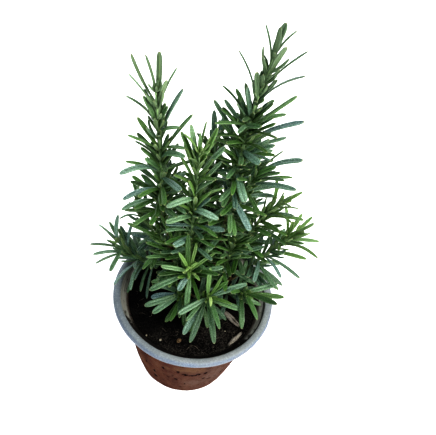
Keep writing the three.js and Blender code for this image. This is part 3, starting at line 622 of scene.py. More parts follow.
def glaze_material():
    """The lip's matte, crazed blue-grey glaze: bluer outside, partly a painted sky reflection, paler at
    its inner edge, and darker at the left with painted shade.
    """
    n = Nodes("glaze", Specular_IOR_Level=0.5)
    outside = n.attribute("outside")
    cloud = n.noise(60, 5, 0.6)
    speckle = n.noise(900, 3, 0.7)
    # Bluer on the outward faces: the glaze's blue patches with a painted reflection of the sky.
    blue_and_sky_reflection = n.times(n.between(outside, 0.35, 0.9), n.between(cloud, 0.35, 0.62, 0.35, 1))
    colour = n.layers(
        n.mix(blue_and_sky_reflection, n.layers("6d7274", ("808483", cloud, 0.3, 0.7)), "59667a"),
        ("a2a4a0", outside, -1, -0.45, 0.75, 0),
        # Painted shade: darker at the left side of the lip.
        ("4c545b", n.x, -0.06, 0.005, 0.7, 0),
        ("565b60", speckle, 0.5, 0.7, 0, 0.35),
        ("a9aeb0", speckle, 0.3, 0.48, 0.3, 0),
        ("50555b", n.cells(420, "DISTANCE_TO_EDGE"), 0, 0.06, 0.25, 0),
    )
    return n.finish(colour, n.between(speckle, 0.3, 0.7, 0.42, 0.62), n.bump(speckle, 0.3, 0.0004))


def inner_wall_material():
    """The inside of the wall: streaky slip, a painted shadow just under the lip, and soil stuck to it at
    the front.
    """
    n = Nodes("inner_wall", Specular_IOR_Level=0.35)
    rings = n.noise((25, 25, 420), 4, 0.6)
    colour = n.ramp(rings, (0.3, "66645d"), (0.5, "8c8b83"), (0.7, "a3a29b"))
    # Painted shadow: a dark band just under the lip's inner edge, weak at the left.
    shade = n.times(n.between(n.z, 0.0908, 0.0914), n.between(n.x, -0.045, -0.02, 0.15, 0.85))
    dirt = n.plus(n.between(n.y, -0.05, -0.02, 0.9, 0.1), n.noise(300, 4))
    colour = n.layers(
        n.mix(shade, colour, "2b2826"),
        ("2f2219", n.z, 0.0868, 0.0882, 0.9, 0),
        ("120d0a", dirt, 0.7, 0.95),
    )
    return n.finish(colour, 0.8, n.bump(rings, 0.6, 0.0008))


def soil_material(name, dark, light):
    """Fine grained, and with painted shade nearly black under the plant, at the left and behind."""
    n = Nodes(name, Specular_IOR_Level=0.15)
    grain = n.noise(900, 5, 0.7)
    amount = n.plus(n.times(grain, 0.7), n.times(n.noise(60), 0.3))
    colour = n.ramp(amount, (0.46, dark), (0.64, light))
    # Painted shade: nearly black at the left and behind, under the plant.
    colour = n.layers(colour, ("030303", n.plus(n.y, n.times(n.x, -0.5)), -0.045, -0.02, 0, 0.7))
    return n.finish(colour, 0.95, n.bump(grain, 0.8, 0.0008))


def fibre_material():
    n = Nodes("fibre", Specular_IOR_Level=0.3)
    return n.finish(n.ramp(n.noise(300, 2), (0.35, "2c2722"), (0.65, "6f675c")), 0.8)


def perlite_material():
    n = Nodes("perlite", Specular_IOR_Level=0.4)
    pores = n.cells(2600)
    colour = n.layers("8f8979", ("5d5749", pores, 0, 0.35, 0.7, 0))
    return n.finish(colour, 0.85, n.bump(pores, 0.8, 0.0003))


def crumb_material():
    n = Nodes("crumb", Specular_IOR_Level=0.2)
    grain = n.noise(900, 4)
    return n.finish(n.ramp(grain, (0.35, "33281d"), (0.6, "70604a")), 0.9, n.bump(grain, 0.7, 0.0005))


def dead_wood_material():
    n = Nodes("dead_wood", Specular_IOR_Level=0.25)
    line = n.add("ShaderNodeCombineXYZ", {"X": n.attribute("across")}).outputs[0]
    strands = n.noise(14, Vector=line)
    amount = n.plus(n.times(n.noise(900, 5, 0.65), 0.5), n.times(strands, 0.5))
    colour = n.ramp(amount, (0.35, "4c4741"), (0.5, "77726a"), (0.65, "999489"))
    colour = n.mix(n.attribute("dark"), colour, "1c1815")
    return n.finish(colour, 0.85, n.bump(strands, 0.7, 0.0006))


# ---------------------------------------------------------------- meshes


def new_object(name, points, faces, materials, slots=None, attributes=None, smooth=True):
    """A mesh object from points in millimetres. attributes are per point."""
    mesh = bpy.data.meshes.new(name)
    mesh.from_pydata((np.asarray(points) * MM).tolist(), [], faces)
    for material in materials:
        mesh.materials.append(material)
    if slots is not None:
        mesh.polygons.foreach_set("material_index", slots)
    for key, values in (attributes or {}).items():
        data = mesh.attributes.new(key, "FLOAT", "POINT").data
        data.foreach_set("value", np.asarray(values, np.float32))
    mesh.polygons.foreach_set("use_smooth", [smooth] * len(faces))
    mesh.update()
    return link(name, mesh)


def grid_faces(rows, columns, start=0):
    """Quads over a grid of rows whose columns close into a ring."""
    faces = []
    for i in range(rows - 1):
        for j in range(columns):
            k = (j + 1) % columns
            a, b = start + i * columns, start + (i + 1) * columns
            faces.append((a + j, a + k, b + k, b + j))
    return faces


def circle(radius, height, count):
    """Points round the Z axis, from +X on."""
    angles = [2 * math.pi * j / count for j in range(count)]
    return [(radius * math.cos(a), radius * math.sin(a), height) for a in angles]


def rough(point, scale, seed=0.0):
    """Smooth noise from about -1 to 1 with features of about scale millimetres."""
    return noise.noise(Vector(point) / scale + Vector((seed, 0, 0)))


def clamp(value):
    return min(1.0, max(0.0, value))


# ---------------------------------------------------------------- pot


def wall_radius(height):
    rise = height / NECK
    return FOOT_RADIUS + (NECK_RADIUS - FOOT_RADIUS) * rise + 4 * BULGE * rise * (1 - rise)


def inner_radius(height):
    return wall_radius(height) - WALL


def pot_profile():
    """(radius, height, part) from the middle of the foot up the outside and down the inside."""
    points = [(r, 0, "clay") for r in (0, 12, 24, 32, FOOT_RADIUS - 3)]
    points += [(FOOT_RADIUS - 1.4, 0.3, "clay"), (FOOT_RADIUS - 0.3, 1.2, "clay")]
    points += [(wall_radius(h), h, "clay") for h in np.linspace(2.5, NECK - 0.8, WALL_RINGS)]
    points += [(NECK_RADIUS + 0.6, NECK - 0.1, "clay"), (NECK_RADIUS + 2.5, NECK + 0.1, "glaze")]
    for angle in np.radians(np.linspace(-72, 150, LIP_RINGS)):
        out, up = [math.copysign(abs(v) ** LIP_SQUARENESS, v) for v in (math.cos(angle), math.sin(angle))]
        points.append((LIP_MIDDLE + LIP_HALF * out, POT_HEIGHT - LIP_DEPTH * (1 - up) / 2, "glaze"))
    edge, rim, under_lip = LIP_INNER - 0.3, inner_radius(SOIL_LEVEL), POT_HEIGHT - 2.4
    for t in np.linspace(0, 1, UNDER_LIP_RINGS):
        points.append((edge + (rim - edge) * t, under_lip + (SOIL_LEVEL - under_lip) * t, "inside"))
    for top, bottom in ((SOIL_LEVEL - 1, SOIL_LEVEL - 8), (SOIL_LEVEL - 12, FLOOR + 3)):
        points += [(inner_radius(h), h, "inside") for h in np.linspace(top, bottom, INSIDE_RINGS)]
    points += [(r, FLOOR, "inside") for r in (inner_radius(FLOOR) - 2, 24, 12, 0)]
    return points


# Marks on the pot's outside: (degrees round from +X, height, half length, half height, depth).
POT_MARKS = {
    # The pits are shallow dents, and the shade in them is painted near-black on the clay.
    "shaded_pit": [
        (-93, 54, 2.2, 4, 0.5), (-86, 49, 3, 3.5, 0.7), (-79, 47.5, 4.6, 1.8, 0.4),
        (-73, 50, 2.4, 3, 0.6), (-66, 50.5, 2.6, 4.5, 0.8), (-60, 32, 3.2, 3.2, 0.6),
        (-66, 37, 1.8, 3, 0.5), (-94, 33, 2, 3.5, 0.7), (-46, 38, 1.6, 9, 0.6), (-128, 42, 1.6, 5, 0.4),
        (-118, 20, 2, 5, 0.5), (-118, 33, 1.5, 4, 0.4), (-107, 52, 1.7, 4, 0.4), (-53, 18, 1.5, 4, 0.4),
        (-84, 25, 1.2, 3, 0.3), (40, 38, 2, 6, 0.5), (120, 55, 2.4, 5, 0.5), (175, 30, 2, 5, 0.5),
    ],
    "stain": [
        (-103, 57, 3.5, 5, 0), (-79, 62, 14, 8, 0), (-92, 60, 7, 4, 0), (80, 64, 14, 7, 0),
    ],
    "worn": [
        (-56, 42, 13, 24, 0), (-76, 28, 9, 10, 0), (-52, 66, 10, 10, 0), (150, 40, 12, 20, 0),
        (10, 50, 10, 14, 0),
    ],
}


def mark_at(angle, height, radius, kind):
    """(how dark, how deep) the marks of a kind are at one place on the wall."""
    shade = depth = 0.0
    for turn, level, half_length, half_height, deep in POT_MARKS[kind]:
        along = math.remainder(angle - math.radians(turn), 2 * math.pi) * radius / half_length
        spread = math.hypot(along, (height - level) / half_height)
        if spread < 2:
            ragged = spread + 0.9 * rough((angle * radius, height * 0.4, 0), 1.3, turn)
            here = clamp(1.6 - 1.5 * ragged)
            shade = max(shade, here)
            depth = max(depth, here * deep)
    return shade, depth


def pot_point(angle, radius, height, part):
    """A point of the pot's uneven surface, and its values for pits, stains, wear and the outside."""
    way = Vector((math.cos(angle), math.sin(angle), 0))
    here = way * radius + Vector((0, 0, height))
    shaded_pit = stain = worn = push = 0.0
    if part == "clay" and height > 1:
        shaded_pit, depth = mark_at(angle, height, radius, "shaded_pit")
        stain, worn = [mark_at(angle, height, radius, kind)[0] for kind in ("stain", "worn")]
        push = 0.35 * rough(here, 14) + 0.14 * rough(here, 3.5, 7) - depth
    elif part == "glaze":
        push = 0.22 * rough(here, 16, 3) + 0.06 * rough(here, 3, 5)
    elif part == "inside" and height > FLOOR + 1:
        push = 0.25 * math.sin(height * 2.6 + rough(here, 30, 9) * 2) + 0.15 * rough(here, 8, 11)
    return here + way * push, (shaded_pit, stain, worn, (radius - LIP_MIDDLE) / LIP_HALF)


def build_pot(materials):
    profile = pot_profile()
    points, looks = [], []
    for radius, height, part in profile[1:-1]:
        for j in range(POT_SEGMENTS):
            point, look = pot_point(2 * math.pi * j / POT_SEGMENTS, radius, height, part)
            points.append(point)
            looks.append(look)
    rows = len(profile) - 2
    faces = grid_faces(rows, POT_SEGMENTS)
    kinds = {"clay": 0, "glaze": 1, "inside": 2}
    slots = [kinds[profile[i + 2][2]] for i in range(rows - 1) for _ in range(POT_SEGMENTS)]
    for ring, (radius, height, part) in ((0, profile[0]), (rows - 1, profile[-1])):
        centre = len(points)
        points.append(Vector((0, 0, height)))
        looks.append((0, 0, 0, 0))
        for j in range(POT_SEGMENTS):
            pair = [ring * POT_SEGMENTS + k % POT_SEGMENTS for k in (j, j + 1)]
            faces.append((centre, *(pair[::-1] if ring == 0 else pair)))
            slots.append(kinds[part])
    attributes = dict(zip(("shaded_pit", "stain", "worn", "outside"), zip(*looks)))
    pot = new_object("clay_pot", points, faces, materials, slots, attributes)
    drill_drains(pot)
    return pot


def drill_drains(pot):
    for i in range(DRAIN_COUNT):
        angle = math.radians(90 + 360 * i / DRAIN_COUNT)
        centre = DRAIN_CIRCLE * np.array([math.cos(angle), math.sin(angle), 0])
        rings = circle(DRAIN_RADIUS, -2, DRAIN_SEGMENTS) + circle(DRAIN_RADIUS, FLOOR + 2, DRAIN_SEGMENTS)
        faces = grid_faces(2, DRAIN_SEGMENTS)
        faces.append(tuple(range(DRAIN_SEGMENTS))[::-1])
        faces.append(tuple(range(DRAIN_SEGMENTS, 2 * DRAIN_SEGMENTS)))
        cutter = new_object("drain_cutter", centre + rings, faces, [])
        cut = pot.modifiers.new("drain", "BOOLEAN")
        cut.operation = "DIFFERENCE"
        cut.object = cutter
        bpy.context.view_layer.update()
        evaluated = pot.evaluated_get(bpy.context.evaluated_depsgraph_get())
        drilled = bpy.data.meshes.new_from_object(evaluated)
        pot.modifiers.clear()
        pot.data = drilled
        bpy.data.objects.remove(cutter)


# ---------------------------------------------------------------- soil


def soil_top(x, y):
    dish = SOIL_DISH * (x * x + y * y) / (NECK_RADIUS * NECK_RADIUS)
    wave = SOIL_WAVE * math.sin(x / 9 + 1) * math.cos(y / 11)
    return SOIL_LEVEL - dish + wave


def soil_height(x, y):
    """The soil's top with its lumps, which the frame's smooth one leaves out."""
    lumps = 0.5 * rough((x, y, 0), 6) + 0.45 * rough((x, y, 5), 2.2) + 0.25 * rough((x, y, 9), 1)
    return soil_top(x, y) + lumps


def build_soil(material):
    rim = inner_radius(SOIL_LEVEL) - RIM_GAP
    points = [(0, 0, soil_height(0, 0))]
    for i in range(1, SOIL_RINGS + 1):
        points += [(x, y, soil_height(x, y)) for x, y, _ in circle(rim * i / SOIL_RINGS, 0, SOIL_SEGMENTS)]
    sides = [(inner_radius(h) - SIDE_GAP, h) for h in (SOIL_LEVEL - 5, 50, 25, FLOOR + 3)]
    sides.append((inner_radius(FLOOR) - 3, FLOOR + 0.3))
    for radius, height in sides:
        points += circle(radius, height, SOIL_SEGMENTS)
    faces = [(0, 1 + j, 1 + (j + 1) % SOIL_SEGMENTS) for j in range(SOIL_SEGMENTS)]
    faces += [face[::-1] for face in grid_faces(SOIL_RINGS + len(sides), SOIL_SEGMENTS, 1)]
    faces.append(tuple(range(len(points) - SOIL_SEGMENTS, len(points))))
    return new_object("potting_soil", points, faces, [material])


def icosphere(detail):
    shape = bmesh.new()
    bmesh.ops.create_icosphere(shape, subdivisions=detail, radius=1)
    points = np.array([v.co for v in shape.verts])
    faces = [tuple(v.index for v in f.verts) for f in shape.faces]
    shape.free()
    return points, faces


def scattered(random, rim):
    """A place within rim of the middle, each spot as likely as another."""
    radius = rim * math.sqrt(random.random())
    angle = 2 * math.pi * random.random()
    return radius * math.cos(angle), radius * math.sin(angle)


def build_crumbs(material, random):
    """Loose lumps of the potting mix, most of them small, all over the soil."""
    ball, ball_faces = icosphere(1)
    points, faces = [], []
    for _ in range(CRUMBS):
        x, y = scattered(random, inner_radius(SOIL_LEVEL) - CRUMB_GAP)
        size = 0.25 + 0.9 * random.random() ** 3
        shape = size * (0.6 + 0.6 * random.random(3)) * np.array([1, 1, 0.7])
        lumpy = ball * (1 + 0.25 * random.standard_normal((len(ball), 1))) * shape
        spin = np.array(Euler(random.random(3) * 6).to_matrix())
        start = len(points)
        points.extend(lumpy @ spin.T + (x, y, soil_height(x, y) + 0.25 * size))
        faces.extend(tuple(start + i for i in face) for face in ball_faces)
    return new_object("soil_crumbs", points, faces, [material], smooth=False)


def sweep(points, faces, spine, sides, size):
    """Adds a closed tube to points and faces. spine has a centre, an axis and a side for each ring.

    size(ring, angle, out) is the radius there, where out is the way from the centre.
    """
    start = len(points)
    for i, (centre, axis, side) in enumerate(spine):
        other = np.cross(axis, side)
        for j in range(sides):
            angle = 2 * math.pi * j / sides
            out = side * math.cos(angle) + other * math.sin(angle)
            points.append(centre + out * size(i, angle, out))
    faces.extend(grid_faces(len(spine), sides, start))
    faces.append(tuple(range(start, start + sides))[::-1])
    faces.append(tuple(range(len(points) - sides, len(points))))


def strand(points, faces, path, radius):
    """Adds a thin fibre along a path, with pinched ends."""
    path = np.asarray(path, float)
    last = len(path) - 1
    spine = []
    for i, here in enumerate(path):
        axis = unit(path[min(i + 1, last)] - path[max(i - 1, 0)])
        spine.append((here, axis, unit(np.cross(axis, UP if abs(axis[2]) < 0.9 else [1.0, 0, 0]))))
    sweep(points, faces, spine, FIBRE_SIDES, lambda i, *_: radius * (0.4 if i in (0, last) else 1))


def build_fibres(material, random):
    """Fine root and peat fibres that lie on the soil, and one root that shows at the front."""
    points, faces = [], []
    for _ in range(FIBRES):
        place = np.array(scattered(random, inner_radius(SOIL_LEVEL) - FIBRE_GAP))
        heading, bend = 2 * math.pi * random.random(), 0.5 * random.standard_normal()
        path = []
        for _ in range(7):
            path.append((*place, soil_height(*place) + 0.25))
            heading += bend
            step = 0.5 + 0.7 * random.random()
            place = place + step * np.array([math.cos(heading), math.sin(heading)])
        strand(points, faces, path, 0.08 + 0.07 * random.random())
    strand(points, faces, [(x, y, soil_top(x, y) + rise) for x, y, rise in ROOT], 0.2)
    return new_object("soil_fibres", points, faces, [material])


def build_grain(name, spec, order, material):
    x, y, radius = spec
    ball, faces = icosphere(3)
    lumps = [1 + 0.22 * rough(p, 0.55, order * 3.1) + 0.1 * rough(p, 0.2, order) for p in ball]
    points = ball * (radius, 0.8 * radius, 0.65 * radius) * np.array(lumps)[:, None]
    spin = np.array(Euler((0, 0, order)).to_matrix())
    points = points @ spin.T + (x, y, soil_top(x, y) + radius * 0.65 + 0.3)
    return new_object(name.replace("perlite", "white_grain"), points, faces, [material])


def sliver_point(v, u, side, spec, order, length):
    """(point, dark, across) at v along and u across a sliver, both from -1 to 1."""
    ragged = 0.2 * rough((u * 3, order * 5, 0), 0.4) + 0.1 * rough((u * 3, order * 5, 3), 0.15)
    waist = 1 - 0.25 * v * v + 0.12 * rough((v * 2, side, order * 7), 0.7)
    x = length / 2 * v * (0.88 + ragged)
    y = spec["width"] / 2 * u * waist * (1 - 0.4 * abs(v) ** 4)
    rim = max(0.0, 1 - max(abs(u), abs(v)) ** 6)
    grain = 0.3 * rough((x * 0.12, y * 1.8, side), 0.8, order * 2.0)
    split = spec["split"] if abs(u - 0.1) < 0.24 * (v + 0.4) else 0.0
    z = side * SLIVER_THICKNESS / 2 * (0.25 + 0.75 * rim) + grain * rim - split
    return (x, y, z), clamp(1.5 * rough((x * 0.2, y * 0.7, order * 9), 1.5) + spec["shade"]), u * 1.7


def build_sliver(name, spec, order, material):
    """A splinter of weathered wood: split fibres with ragged ends."""
    (x0, y0), (x1, y1) = spec["ends"]
    columns, rows = SLIVER_COLUMNS, SLIVER_ROWS
    places = [(i / rows * 2 - 1, j / columns * 2 - 1) for i in range(rows + 1) for j in range(columns + 1)]
    data = [sliver_point(v, u, side, spec, order, math.hypot(x1 - x0, y1 - y0))
            for side in (1, -1) for v, u in places]
    points, dark, across = zip(*data)
    row = columns + 1
    sheet = (rows + 1) * row
    faces = []
    for i in range(rows):
        for j in range(columns):
            a = i * row + j
            faces.append((a, a + row, a + row + 1, a + 1))
            faces.append((sheet + a, sheet + a + 1, sheet + a + row + 1, sheet + a + row))
    rim = [j for j in range(columns)] + [i * row + columns for i in range(rows)]
    rim += [rows * row + j for j in range(columns, 0, -1)] + [i * row for i in range(rows, 0, -1)]
    faces += [(a, b, sheet + b, sheet + a) for a, b in zip(rim, rim[1:] + rim[:1])]
    lean = math.radians(spec["lean"])
    tilt = np.array(Euler((lean, 0, 0)).to_matrix())
    turn = np.array(Euler((0, 0, math.atan2(y1 - y0, x1 - x0))).to_matrix())
    middle = ((x0 + x1) / 2, (y0 + y1) / 2)
    lift = abs(math.sin(lean)) * spec["width"] / 2 + SOIL_WAVE + 1.1
    points = np.array(points) @ tilt.T @ turn.T + (*middle, soil_top(*middle) + lift)
    return new_object(name.replace("wood_chip", "splinter"), points, faces, [material], None,
                      {"dark": dark, "across": across})


# ---------------------------------------------------------------- how the plant grows


def unit(vector):
    return vector / np.linalg.norm(vector)


def point_on(path, t):
    """A point on the smooth curve through a path, with t from 0 to 1 and the same share for each span."""
    p = np.asarray(path, float)
    last = len(p) - 1
    place = min(max(t, 0.0), 1.0) * last
    i = min(int(place), last - 1)
    w = place - i
    before = p[i - 1] if i > 0 else 2 * p[0] - p[1]
    after = p[i + 2] if i + 2 <= last else 2 * p[last] - p[last - 1]
    a, b = p[i], p[i + 1]
    v0, v1 = (b - before) / 2, (after - a) / 2
    return a + v0 * w + (-3 * a + 3 * b - 2 * v0 - v1) * w * w + (2 * a - 2 * b + v0 + v1) * w ** 3


def heading_on(path, t):
    step = 0.01
    return unit(point_on(path, min(t + step, 1)) - point_on(path, max(t - step, 0)))


def length_of(path):
    points = np.array([point_on(path, t) for t in np.linspace(0, 1, 201)])
    return np.linalg.norm(np.diff(points, axis=0), axis=1).sum()


def square_to(axis, other):
    return unit(other - (other @ axis) * axis)


def side_on(path, axis):
    """A way square to the axis that doesn't flip along the path."""
    chord = unit(np.subtract(path[-1], path[0]).astype(float))
    return square_to(axis, UP if abs(chord[0]) > 0.8 else np.array([1.0, 0, 0]))


def station(path, t):
    """The point, the heading and the side of a path at t."""
    axis = heading_on(path, t)
    return point_on(path, t), axis, side_on(path, axis)


def leaning(axis, out, degrees, length):
    """A line that leans out from the axis."""
    spread = math.radians(degrees)
    return (axis * math.cos(spread) + out * math.sin(spread)) * length


def turned(vector, axis, degrees):
    """The vector, turned about the axis."""
    a = math.radians(degrees)
    across = np.cross(axis, vector)
    return vector * math.cos(a) + across * math.sin(a) + axis * (axis @ vector) * (1 - math.cos(a))


def jitter(a, b=0, c=0):
    """A repeatable number from -1 to 1 for up to three counters."""
    value = math.sin(a * 12.9898 + b * 78.233 + c * 37.719) * 43758.5453
    return 2 * (value - math.floor(value)) - 1


class Leaf:
    """A curve from its base over a knee to its tip, with the way its upper face looks."""

    def __init__(self, base, axis, reach, arch, width, roll, young=0.0, fresh=0.0):
        self.base, self.tip, self.width = base, base + reach, width
        self.young, self.fresh = young, fresh
        self.length = np.linalg.norm(reach)
        along = reach / self.length
        self.up = turned(square_to(along, axis + 0.6 * UP), along, roll)
        self.side = np.cross(along, self.up)
        self.knee = base + reach * 0.5 + self.up * arch * self.length

    def point(self, t):
        return self.base * (1 - t) ** 2 + self.knee * 2 * t * (1 - t) + self.tip * t * t

    def heading(self, t):
        return unit((self.knee - self.base) * (1 - t) + (self.tip - self.knee) * t)

    def beads(self):
        """The leaf's space as flattened beads: (centre, three half widths as vectors, how far along)."""
        beads = []
        for i in range(LEAF_BEADS):
            along = BEADS_FROM + (1 - BEADS_FROM) * i / (LEAF_BEADS - 1)
            taper = 0.6 if along > 0.95 else 1
            arms = (self.side * self.width * 0.5 * taper, self.up * LEAF_THICKNESS * 0.6,
                    self.heading(along) * self.length * 0.075)
            beads.append((self.point(along), arms, along))
        return beads


class Crowd:
    """The beads of everything that has grown, to keep new leaves out of it."""

    def __init__(self, room=30000):
        self.count = 0
        self.centres = np.zeros((room, 3))
        self.arms = np.zeros((room, 3, 3))
        self.along = np.zeros(room)
        self.owner = np.zeros(room, int)

    def add(self, beads, owner):
        for centre, arms, along in beads:
            i = self.count
            self.centres[i], self.arms[i], self.along[i], self.owner[i] = centre, arms, along, owner
            self.count += 1

    def is_clear(self, beads, owner, gap, joined_to):
        """Whether beads keep the gap to all others, but for those of the same owner up to joined_to."""
        n = self.count
        sight = 2 * LEAF_WIDTH
        for centre, arms, along in beads:
            between = self.centres[:n] - centre
            distance = np.linalg.norm(between, axis=1)
            joined = (self.owner[:n] == owner) & (np.minimum(self.along[:n], along) < joined_to)
            near = (distance < sight) & ~joined
            if near.any():
                way = between[near] / np.maximum(distance[near], 1e-6)[:, None]
                mine = np.linalg.norm(way @ np.array(arms).T, axis=1)
                theirs = np.linalg.norm(np.einsum("nij,nj->ni", self.arms[:n][near], way), axis=1)
                if (distance[near] < mine + theirs + gap).any():
                    return False
        return True


def stem_beads(spec, along):
    path, radii = spec["path"], spec["radii"]
    count = math.floor(np.linalg.norm(np.subtract(path[-1], path[0])) / STEM_BEAD_STEP) + 2
    beads = []
    for i in range(count + 1):
        radius = radii[0] + (radii[1] - radii[0]) * i / count
        beads.append((point_on(path, i / count), np.eye(3) * radius, along))
    return beads


def settle(leaves, crowd, owner, gap, joined_to=JOINED, **wish):
    """Adds the leaf where it was asked for, or turned round its shoot to the first clear place."""
    for turn in TURNS:
        leaf = Leaf(**{**wish, "reach": turned(wish["reach"], wish["axis"], turn)})
        beads = leaf.beads()
        if leaf.tip[2] > SOIL_LEVEL + SOIL_AIR and crowd.is_clear(beads, owner, gap, joined_to):
            crowd.add(beads, owner)
            leaves.append(leaf)
            return


def outline_wish(path, along, x, y, z, bend, roll=0, width=LEAF_WIDTH):
    base = point_on(path, along)
    return {"base": base, "axis": heading_on(path, along), "reach": (x, y, z) - base, "arch": bend,
            "width": width, "roll": roll, "young": along}


def pair_wishes(shoot, order, spacing, shift=0.0, size=1.0, wild=1.0):
    """Crossed pairs of leaves, spread wide low on the shoot and closing up towards its tip."""
    path, (start, end) = shoot["path"], shoot["filled"]
    pairs = math.floor(length_of(path) * (end - start) / spacing)
    for i in range(pairs + 1 if not shift else pairs):
        along = start + (end - start) * (i + shift) / max(pairs, 1)
        base, axis, side = station(path, along)
        youth = max(0, along - YOUNG_FROM) / (1 - YOUNG_FROM)
        length = size * (LEAF_LENGTH + (TIP_LEAF_LENGTH - LEAF_LENGTH) * youth)
        angle = WIDE_ANGLE + (NARROW_ANGLE - WIDE_ANGLE) * along ** 1.3
        for half in (0, 1):
            turn, arch, roll, lean, longer = [jitter(order, i, half + k) for k in (0, 2, 3, 5, 9)]
            out = turned(side, axis, shoot["turn"] + 90 * (i + shift) + 180 * half + 14 * wild * turn)
            reach = leaning(axis, out, angle + 9 * wild * lean, length * (1 + 0.12 * longer))
            yield {
                "base": base, "axis": axis, "reach": reach - UP * LEAF_DROOP * (1 - along),
                "arch": LEAF_ARCH + 0.06 * arch, "roll": 15 * roll, "young": along,
                "width": LEAF_WIDTH + (YOUNG_LEAF_WIDTH - LEAF_WIDTH) * along,
            }


def tuft_wishes(shoot, order):
    """Short upright leaves close round a shoot, where side shoots are about to grow."""
    path = shoot["path"]
    nodes = math.floor(length_of(path) / TUFT_SPACING)
    for i in range(1, nodes):
        along = 0.96 * i / nodes
        base, axis, side = station(path, along)
        angle, length = BUSHY_TUFT if along < shoot["bushy"] else OPEN_TUFT
        for j in range(TUFT_LEAVES):
            turn, lean, longer, place, arch, wider, roll = [jitter(order, i, j + 10 * k) for k in range(7)]
            out = turned(side, axis, 360 * (j + 0.4 * turn) / TUFT_LEAVES + 67 * i)
            yield {
                "base": base + axis * 2 * place, "axis": axis, "arch": -0.05 + 0.1 * arch,
                "reach": leaning(axis, out, angle + 10 * lean, length + 4 * longer),
                "width": 3 + 0.5 * wider, "roll": 25 * roll, "young": along, "fresh": 0.3,
            }


def bud_wishes(shoot):
    """The closed-up tiny leaves of a growing tip."""
    tip, axis, side = station(shoot["path"], 1)
    for j in range(BUD_LEAVES):
        out = turned(side, axis, shoot["turn"] + BUD_TURN * j)
        yield {
            "base": tip - axis * 1.2, "axis": axis, "reach": leaning(axis, out, 9 + 5 * j, 5 + 1.1 * j),
            "arch": -0.12, "width": 1.5 + 0.12 * j, "roll": 0, "young": 1, "fresh": 0.9,
        }


def grow():
    """The frame's leaves, one for one, then the smaller and inner ones that it leaves out."""
    crowd = Crowd()
    leaves = {name: [] for name in SHOOTS}
    shoots = list(enumerate(SHOOTS.items()))
    for i, stem in enumerate(STEMS.values()):
        crowd.add(stem_beads(stem, 1), -1 - i)
    for i, shoot in enumerate(SHOOTS.values()):
        crowd.add(stem_beads(shoot, OWN_STEM)[1:], i)
    for i, (name, shoot) in shoots:
        for row in shoot["leaves"]:
            settle(leaves[name], crowd, i, LEAF_GAP, WHOLE, **outline_wish(shoot["path"], *row))
    for i, (name, shoot) in shoots:
        for wish in pair_wishes(shoot, i, NODE_SPACING):
            settle(leaves[name], crowd, i, LEAF_GAP, **wish)
    for i, (name, shoot) in shoots:
        for wish in bud_wishes(shoot) if name != "shoot_high_right" else ():
            settle(leaves[name], crowd, i, 0, WHOLE, **wish)
        for wish in tuft_wishes(shoot, i):
            settle(leaves[name], crowd, i, TUFT_GAP, **wish)
    for layer, row in enumerate(FILLING):
        for i, (name, shoot) in shoots:
            for wish in pair_wishes(shoot, i + 40 * (layer + 1), *row, FILLING_WILDNESS):
                if wish["young"] < shoot["bushy"]:
                    settle(leaves[name], crowd, i, FILLING_GAP, **wish)
    return leaves


# ---------------------------------------------------------------- leaves and stems as meshes

# Shoots whose leaves look fresher, greyer with more painted sheen, or more ashen than the others.
FRONT_SHOOTS = ("shoot_front", "shoot_low_front")
FRESH_SHOOTS = ("shoot_right", "shoot_low_right", "leader_centre")
ASHEN_SHOOTS = {"leader_right": 1.0, "leader_left": 0.5}
# (how much more, up to how far up the shoot)
GREY_SHEEN_SHOOTS = {
    "shoot_low_left": (0.3, 1),
    "shoot_left_back": (0.3, 1),
    "shoot_low_right": (0.35, 0.5),
    "shoot_low_right_front": (0.35, 0.5),
}

LEAF_RINGS = (0, 0.05, 0.12, 0.22, 0.34, 0.47, 0.6, 0.72, 0.82, 0.9, 0.95, 0.982)
# Round a leaf's section: (across, height, is it the underside), shares of half its width and thickness.
LEAF_SECTION = (
    (-1, -0.05, 0), (-0.87, 0.3, 0), (-0.55, 0.46, 0), (-0.2, 0.34, 0), (0, -0.05, 0),
    (0.2, 0.34, 0), (0.55, 0.46, 0), (0.87, 0.3, 0), (1, -0.05, 0),
    (0.86, -0.34, 1), (0.55, -0.12, 1), (0.2, -0.2, 1), (0, -0.54, 1), (-0.2, -0.2, 1),
    (-0.55, -0.12, 1), (-0.86, -0.34, 1),
)


def leaf_share(t, pointed):
    """How wide a leaf is at a share of its length, of its full width: from blunt to pointed."""
    wide = 0.3 + 0.7 * min(1, t / 0.5) ** 0.8
    round_from = 0.82 - 0.27 * pointed
    if t > round_from:
        rest = (t - round_from) / (1 - round_from)
        wide *= (1 - rest ** 2.2) ** 0.5 * (1 - 0.35 * pointed * rest)
    return wide


def leaf_points(leaf, seed):
    twist, curl, sway, crease, point = [jitter(seed, k) for k in range(1, 6)]
    fold = 0.12 * crease - 0.1 + 0.3 * max(0, leaf.young - 0.7)
    pointed = clamp((LEAF_WIDTH - leaf.width) / 8 + 0.1 + 0.2 * point)
    points = []
    for t in LEAF_RINGS:
        heading = leaf.heading(t)
        side = turned(leaf.side, heading, 14 * twist * (t - 0.2))
        up = np.cross(side, heading)
        share = leaf_share(t, pointed)
        bow = math.sin(math.pi * t)
        centre = leaf.point(t) + up * 0.5 * curl * bow * t + side * 0.6 * sway * bow
        thick = LEAF_BODY * (0.45 + 0.55 * share)
        for across, rise, _ in LEAF_SECTION:
            lift = rise * thick + fold * across * across * share * leaf.width / 2
            points.append(centre + side * across * share * leaf.width / 2 + up * lift)
    points.append(leaf.tip)
    return points


